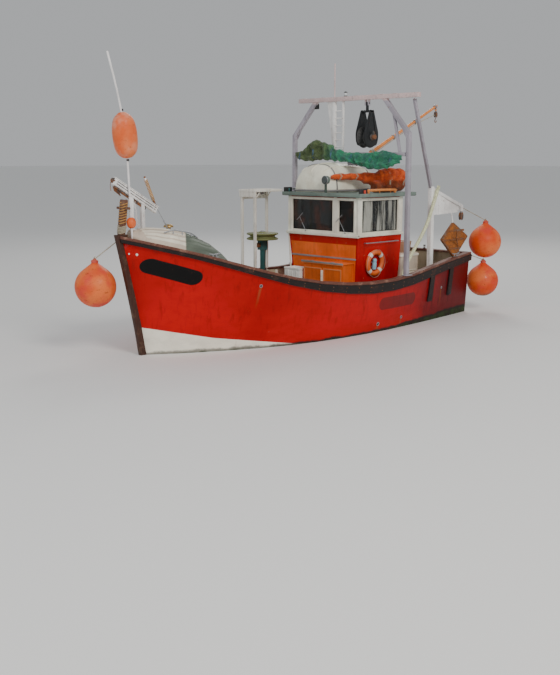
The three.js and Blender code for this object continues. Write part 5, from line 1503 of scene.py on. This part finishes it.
for side, s in (("port", 1), ("starboard", -1)):
    irons = []
    outward = onDoor(s, 0, 0, 1) - onDoor(s, 0, 0, 0)
    corners = [onDoor(s, u * 0.975, v * 0.975, 0) for u, v in doorCorners]
    irons += [batten(a, b, 0.066, 0.030, outward.cross(Vector((1, 0, 0.4))), 0.005)
              for a, b in zip(corners, corners[1:] + corners[:1])]
    for v in door["straps"]:
        low = -0.55 + abs(v - 0.075) * (0.60 if v > 0.075 else 1.18)
        high = 0.545 - abs(v - 0.045) * (1.30 if v > 0.045 else 1.04)
        for w in (-0.030, 0.030):
            irons.append(batten(onDoor(s, low + 0.05, v, w), onDoor(s, high - 0.05, v, w), 0.014, 0.048))
            irons += [boltAt(onDoor(s, u, v, w * 1.2), outward * math.copysign(1, w), 0.011, 0.008)
                      for u in (low + 0.14, (low + high) / 2, high - 0.14)]
    apex = onDoor(s, 0.10, 0.02, s * 0.150)
    irons += [pipe([onDoor(s, u, v, s * 0.030), apex], 0.012, 10)
              for u, v in ((0.26, 0.02), (-0.10, 0.20), (-0.10, -0.16))]
    irons.append(eyeAt(apex, (1, 0, 0.3), 0.030, 0.010))
    keep(irons, "trawl_door_irons_" + side, "rusty_steel")

    # towing block hanging from the gallows head, flanges and a stiffening edge
    x, y = -4.330, s * 1.380
    gear = [eyeAt((x, y, 2.578), (1, 0, 0))]
    gear += [cheekAt((x, y + d, 2.470), 0.062, 0.100, 0.010, 28) for d in (-0.030, 0.030)]
    gear.append(lathe(mirrored([(0.050, 0.006), (0.068, 0.018), (0.066, 0.022), (0.0, 0.022)]), (x, y, 2.450),
                      (0, 1, 0), 36))
    gear.append(rod((x, y - 0.045, 2.450), (x, y + 0.045, 2.450), 0.012, 16))
    keep(gear, "towing_block_" + side, "darkSteel")
    brackets = [batten((-4.190, s * 1.355, 2.575), (-3.170, s * 1.355, 2.545), 0.040, 0.012),
                batten((-3.172, s * 1.330, 0.575), (-3.148, s * 1.330, 0.590), 0.20, 0.20, (1, 0, 0))]
    brackets += [boltAt((-3.080, s * 1.330 + d, z), (1, 0, 0), 0.012, 0.010) for d in (-0.03, 0.03)
                 for z in (3.14, 3.06)]
    keep(brackets, "gallows_edges_" + side, "pale_steel")
print("fishing gear made")

# landing boom: bands, fall along it, block and hook at the tip
boomLine = {"foot": Vector((-1.995, 0, 3.840)), "tip": Vector((-5.050, 0, 5.250))}
boomRun = (boomLine["tip"] - boomLine["foot"]).normalized()
boomUp = Vector((boomRun.z, 0, -boomRun.x))


# a place on the boom: the share of its length, above its middle and to port
def onBoom(t, up=0.0, y=0.0):
    return boomLine["foot"].lerp(boomLine["tip"], t) + boomUp * up + Vector((0, y, 0))


band = [(0.046, -0.024), (0.056, -0.022), (0.056, 0.022), (0.046, 0.024)]
bandsAt = (0.16, 0.42, 0.70, 0.975)
bands = [lathe(band, onBoom(t), boomRun, 36) for t in bandsAt]
bands += [ring(onBoom(t, -0.066), boomRun, 0.016, 0.005, 20, 8) for t in bandsAt]
keep(bands, "boom_bands", "galvanised", "boom")
tipEye = Vector((-5.015, 0, 5.130))
tackle = [eyeAt(tipEye + rise(-0.012), (0, 1, 0))]
tackle += [cheekAt((tipEye.x, d, tipEye.z - 0.105), 0.045, 0.075, 0.009, 24) for d in (-0.028, 0.028)]
tackle.append(rod(tipEye + Vector((0, -0.036, -0.115)), tipEye + Vector((0, 0.036, -0.115)), 0.040, 28,
                  0.004))
hook = ((0, -0.170), (0, -0.215), (0.028, -0.245), (0.030, -0.285), (0, -0.305), (-0.030, -0.282),
        (-0.036, -0.255))
tackle.append(bent([tipEye + Vector((x, 0, z)) for x, z in hook], 5, 0.010, 10))
keep(tackle, "boom_tackle", "darkSteel", "boom")
falls = [pipe([tipEye + Vector((0.04, d, -0.115)), onBoom(0.70, -0.068, d), onBoom(0.42, -0.068, d),
               onBoom(0.16, -0.066, d)], 0.0065) for d in (-0.008, 0.008)]
turns = []
for k in range(24 * 5 + 1):
    a = math.tau * k / 24
    out = boomUp * math.cos(a) + Vector((0, 1, 0)) * math.sin(a)
    turns.append(onBoom(0.14 + 0.010 * math.sin(a * 0.5)) + boomRun * (0.010 * a / 6.3) + out * 0.056)
keep(falls + [rope(turns, 0.007)], "boom_fall", "ropePale", "boom")

# gantry: knee gussets, foot flanges, bolts, mast-head lamp, deck lamp
gusset = [(1.800, 4.300), (1.800, 4.500), (1.700, 4.600), (1.590, 4.640), (1.700, 4.440)]
plates = []
for s in (-1, 1):
    plates += [plateOf([(x, s * y, z) for y, z in gusset], (0.008, 0, 0), 0.002) for x in (-1.655, -1.545)]
    plates += [boltAt((-1.538, s * 1.80, z), (1, 0, 0), 0.012, 0.009) for z in (4.00, 3.96, 4.04)]
    foot = cast(railTree, (-1.600, s * 1.845, 3), (0, 0, -1))[0]
    plates.append(batten((-1.72, s * 1.845, foot.z + 0.006), (-1.48, s * 1.845, foot.z + 0.006), 0.13, 0.014))
    plates += [boltAt((-1.60 + dx, s * (1.845 + dy), foot.z + 0.013), (0, 0, 1), 0.011, 0.010)
               for dx in (-0.09, 0.09) for dy in (-0.04, 0.04)]
plates += [batten((bx, y, 5.342), (bx, y + 0.11, 5.342), 0.128, 0.008)
           for y in (-1.50, -0.90, 0.20, 0.95, 1.35)]
keep(plates, "gantry_plates", "gantry_lilac")


def lathes(profiles, base, sides):
    return [lathe(profile, base, (0, 0, 1), sides) for profile in profiles]


mastHead = (-1.6, -0.12, 5.340)
lamp = lathes([[(0.030, 0.0), (0.042, 0.006), (0.042, 0.016), (0.034, 0.022)],
               [(0.034, 0.086), (0.044, 0.090), (0.044, 0.100), (0.020, 0.116), (0.0, 0.118)]], mastHead, 32)
lamp += [block((-1.72, -1.26, 5.085), (-1.62, -1.08, 5.215), 0.014, 3),
         batten((-1.66, -1.17, 5.21), (-1.62, -1.17, 5.26), 0.03, 0.02, (0, 1, 0))]
keep(lamp, "gantry_lamps", "blackRubber")
keep([lathe([(0.033, 0.020), (0.034, 0.054), (0.033, 0.088)], mastHead, (0, 0, 1), 32),
      block((-1.728, -1.25, 5.095), (-1.715, -1.09, 5.205))], "gantry_lamp_lenses", "lampGlass")

# wheelhouse roof: hand rails, lamp lens, dinghy lashings
for side, s, thick, x0, look in (("port", 1, 0.030, -1.90, "boom_orange"),
                                 ("starboard", -1, 0.012, -2.55, "galvanised")):
    y, x1 = s * 1.185, -0.95
    bar = [(x0, 3.10), (x0, 3.150), (x0 + 0.03, 3.178), (x1 - 0.03, 3.178), (x1, 3.150), (x1, 3.10)]
    feet = [rod((x, y, 3.10), (x, y, 3.178), 0.009, 12) for x in (-1.75, -1.35)]
    keep([bent([(x, y, z) for x, z in bar], 5, thick, 12)] + feet, "roof_hand_rail_" + side, look)
roofLamp = (-0.612, 0.14, 3.405)
keep(lathe([(0.090, 0.0), (0.094, 0.006), (0.086, 0.012), (0.060, 0.020), (0.0, 0.024)], roofLamp, (1, 0, 0)),
     "roof_lamp_lens", "darkLens")
keep([ring(roofLamp, (1, 0, 0), 0.094, 0.007, 40, 10),
      batten((-0.65, 0.035, 3.33), (-0.65, 0.245, 3.33), 0.03, 0.010)], "roof_lamp_rim", "galvanised")
straps = []
for at in (0.30, 0.72):
    row = fineRows[round(at * (len(fineRows) - 1))]
    strip = []
    for grow, dx in ((0.003, -0.022), (0.003, 0.022), (0.009, 0.022), (0.009, -0.022)):
        loop = [Vector((x + dx, y, z)) for x, y, z in dinghyLoop(row, grow)]
        loop[0].z = loop[-1].z = 3.108
        strip.append(loop)
    straps.append(soften(skin([list(q) for q in zip(*strip)]), 0.001, 1))
    straps += [ring((row.x, dinghy["y"] + s * (row.y + 0.004), 3.118), (1, 0, 0), 0.022, 0.005, 20, 8)
               for s in (-1, 1)]
keep(straps, "dinghy_lashings", "greyTrim")
print("gantry and roof fittings made")

# skipper's seat: pedestal, pans, two stuffed pads with welts
seat = {"x": -1.760, "y": 0.470, "foot": 0.905, "ring": 1.150, "ringRadius": 0.150}
x, y, z, r = seat["x"], seat["y"], seat["ring"], seat["ringRadius"]
profile = [(0.150, 0.0), (0.150, 0.010), (0.060, 0.030), (0.048, 0.060), (0.045, 0.560), (0.060, 0.600),
           (0.110, 0.640), (0.110, 0.655), (0.0, 0.655)]
stand = [lathe(profile, (x, y, seat["foot"]), (0, 0, 1)), ring((x, y, z), (0, 0, 1), r, 0.011, 40, 10)]
stand += [pipe([(x, y, z), (x + r * math.cos(a), y + r * math.sin(a), z)], 0.009, 10)
          for a in (0.5, 2.6, 4.7)]
stand += [block((-1.955, 0.265, 1.545), (-1.585, 0.675, 1.566), 0.008),
          block((-1.996, 0.300, 1.60), (-1.984, 0.640, 2.02))]
stand += [batten((-1.96, y, 1.555), (-1.985, y, 1.72), 0.036, 0.010, (1, 0, 0)) for y in (0.36, 0.58)]
keep(stand, "seat_stand", "bright_steel", replaced=("skipper_seat",))


def cushion(name, low, high, start, cap):
    piece = block([a + start for a in low], [b - start for b in high], 0.016, 4)
    modify(piece, "REMESH", mode="VOXEL", voxel_size=0.0075)
    bpy.ops.object.shade_smooth()
    before = [v.co.copy() for v in piece.data.vertices]
    cloth = piece.modifiers.new("cloth", "CLOTH")
    cloth.settings.effector_weights.gravity = 0
    cloth.settings.use_pressure = True
    cloth.settings.uniform_pressure_force = 4
    for step in range(1, 21):
        bpy.context.scene.frame_set(step)
    blown = piece.evaluated_get(bpy.context.evaluated_depsgraph_get())
    after = [v.co.copy() for v in blown.data.vertices]
    piece.modifiers.remove(cloth)
    bpy.context.scene.frame_set(1)
    for v, a, b in zip(piece.data.vertices, before, after):
        move = b - a
        v.co = a + move * min(1, cap / max(move.length, 0.0001))
    piece.data.update()
    modify(piece, "SMOOTH", iterations=2, factor=0.5)
    keep(piece, name, "seat_brown")


cushion("seat_pad", (-1.975, 0.245, 1.562), (-1.565, 0.695, 1.640), 0.010, 0.012)
cushion("seat_back_pad", (-1.986, 0.245, 1.640), (-1.925, 0.695, 2.076), 0.009, 0.010)


def roundRectangle(at, across, centre, halfA, halfB, corner=0.035):
    points = []
    for i, (sa, sb) in enumerate(((1, 1), (-1, 1), (-1, -1), (1, -1))):
        for k in range(7):
            a = math.pi / 2 * (i + k / 6)
            u = centre[0] + sa * (halfA - corner) + corner * math.cos(a)
            v = centre[1] + sb * (halfB - corner) + corner * math.sin(a)
            points.append(Vector((u, v, at)) if across == "z" else Vector((at, u, v)))
    return points


welts = [pipe(roundRectangle(z, "z", (-1.770, 0.470), 0.198, 0.218), 0.0045, 8, True) for z in (1.618, 1.582)]
welts += [pipe(roundRectangle(x, "x", (0.470, 1.858), 0.218, 0.211), 0.0045, 8, True)
          for x in (-1.940, -1.972)]
keep(welts, "seat_welts", "blackRubber")

# engine casing: edge mouldings, louvres, hinges, handle; fish bin: rims and ribs
(x0, x1), (y0, y1), z = (-3.006, -2.324), (0.154, 1.086), 1.585
trims = [batten((x0, y, z), (x1, y, z), 0.020, 0.055, edge=0.005) for y in (y0, y1)]
trims += [batten((x, y0, z), (x, y1, z), 0.020, 0.055, edge=0.005) for x in (x0, x1)]
for z in (0.92, 0.98, 1.04, 1.10, 1.16, 1.22):
    trims.append(batten((-2.90, 1.088, z), (-2.43, 1.088, z), 0.018, 0.022, edge=0.005))
    trims.append(batten((-3.008, 0.36, z), (-3.008, 0.88, z), 0.018, 0.022, edge=0.005))
keep(trims, "engine_casing_trims", "frameCream")
hinges = [batten((-2.318, y - 0.05, 1.560), (-2.318, y + 0.05, 1.560), 0.008, 0.070) for y in (0.35, 0.89)]
hinges.append(bent([(-3.012, 0.54, 1.36), (-3.055, 0.55, 1.36), (-3.055, 0.69, 1.36), (-3.012, 0.70, 1.36)],
                   5, 0.009, 10))
keep(hinges, "engine_casing_hinges", "galvanised")
bins = {"x": (-0.655, -0.310), "y": (-0.880, -0.365), "rims": (0.865, 1.308), "feet": (0.50, 0.905),
        "rib": 0.36}
(x0, x1), (y0, y1) = bins["x"], bins["y"]
ribs = []
for rim, foot in zip(bins["rims"], bins["feet"]):
    for y in (y0, y1):
        ribs.append(batten((x0 - 0.008, y, rim), (x1 + 0.008, y, rim), 0.022, 0.046, edge=0.008, steps=3))
        ribs += [batten((x, y, foot), (x, y, foot + bins["rib"]), 0.034, 0.014, (0, 1, 0), 0.005)
                 for x in (-0.57, -0.40)]
    for x in (x0, x1):
        ribs.append(batten((x, y0 - 0.008, rim), (x, y1 + 0.008, rim), 0.022, 0.046, edge=0.008, steps=3))
        ribs += [batten((x, y, foot), (x, y, foot + bins["rib"]), 0.034, 0.014, (1, 0, 0), 0.005)
                 for y in (-0.76, -0.62, -0.48)]
ribs.append(batten((x1 + 0.003, y0 + 0.01, 0.893), (x1 + 0.003, y1 - 0.01, 0.893), 0.006, 0.010))
keep(ribs, "fish_bin_ribs", "bin_white")

# stern: ring bolts on the transom, stern lamp on the rail
stern = []
for y in (-0.85, 0.85):
    place = cast(hullTree, (-7, y, 0.95), (1, 0, 0))[0]
    stern.append(batten(place + Vector((-0.004, 0, -0.06)), place + Vector((-0.004, 0, 0.06)), 0.010, 0.09,
                        (1, 0, 0)))
    stern.append(ring(place + Vector((-0.030, 0, 0)), (0, 1, 0), 0.040, 0.010, 28, 10))
place = cast(hullTree, (-7, 0, 0.20), (1, 0, 0))[0]
stern.append(ring(place + Vector((-0.003, 0.55, 0)), (1, 0, 0), 0.045, 0.010, 32, 10))
keep(stern, "stern_rings", "galvanised")
railTop = cast(railTree, (-4.70, 0.0, 5), (0, 0, -1))[0]
lampAt = (-4.69, 0.0, railTop.z)
keep(lathes([[(0.030, 0.0), (0.034, 0.004), (0.034, 0.016), (0.028, 0.020)],
             [(0.028, 0.070), (0.036, 0.074), (0.030, 0.092), (0.0, 0.096)]], lampAt, 28), "stern_lamp",
     "blackRubber")
keep(lathes([[(0.027, 0.018), (0.028, 0.045), (0.027, 0.072)]], lampAt, 28), "stern_lamp_lens", "lampGlass")
print("seat, casing, bin and stern made")

# floor and light
clearPicks()
bpy.ops.mesh.primitive_plane_add(size=900, location=(0, 0, 0))
floor = bpy.context.object
floor.name = "floor"
floor.data.materials.append(Shader("paleFloor").finish((0.86, 0.86, 0.85), 0.75))

world = bpy.data.worlds.new("studio")
bpy.context.scene.world = world
world.use_nodes = True
sky = world.node_tree.nodes["Background"].inputs
sky["Color"].default_value = (0.86, 0.88, 0.90, 1)
sky["Strength"].default_value = 0.52
lamps = {
    "key": {"place": (9, 26, 19), "aim": (-0.5, 0, 1.5), "power": 4500, "size": 9,
            "colour": (1.0, 0.96, 0.90)},
    "bow": {"place": (24, 4, 12), "aim": (0, 0, 1.5), "power": 1000, "size": 10,
            "colour": (0.93, 0.96, 1.0)},
    "back": {"place": (-16, -12, 16), "aim": (-1, 0, 2), "power": 1200, "size": 8,
             "colour": (1.0, 0.97, 0.92)},
}
for name, lamp in lamps.items():
    data = bpy.data.lights.new(name, "AREA")
    data.energy = lamp["power"]
    data.size = lamp["size"]
    data.color = lamp["colour"]
    made = linked(name, data)
    made.location = lamp["place"]
    made.rotation_euler = (Vector(lamp["aim"]) - Vector(lamp["place"])).to_track_quat("-Z", "Y").to_euler()
print("floor and lamps set")
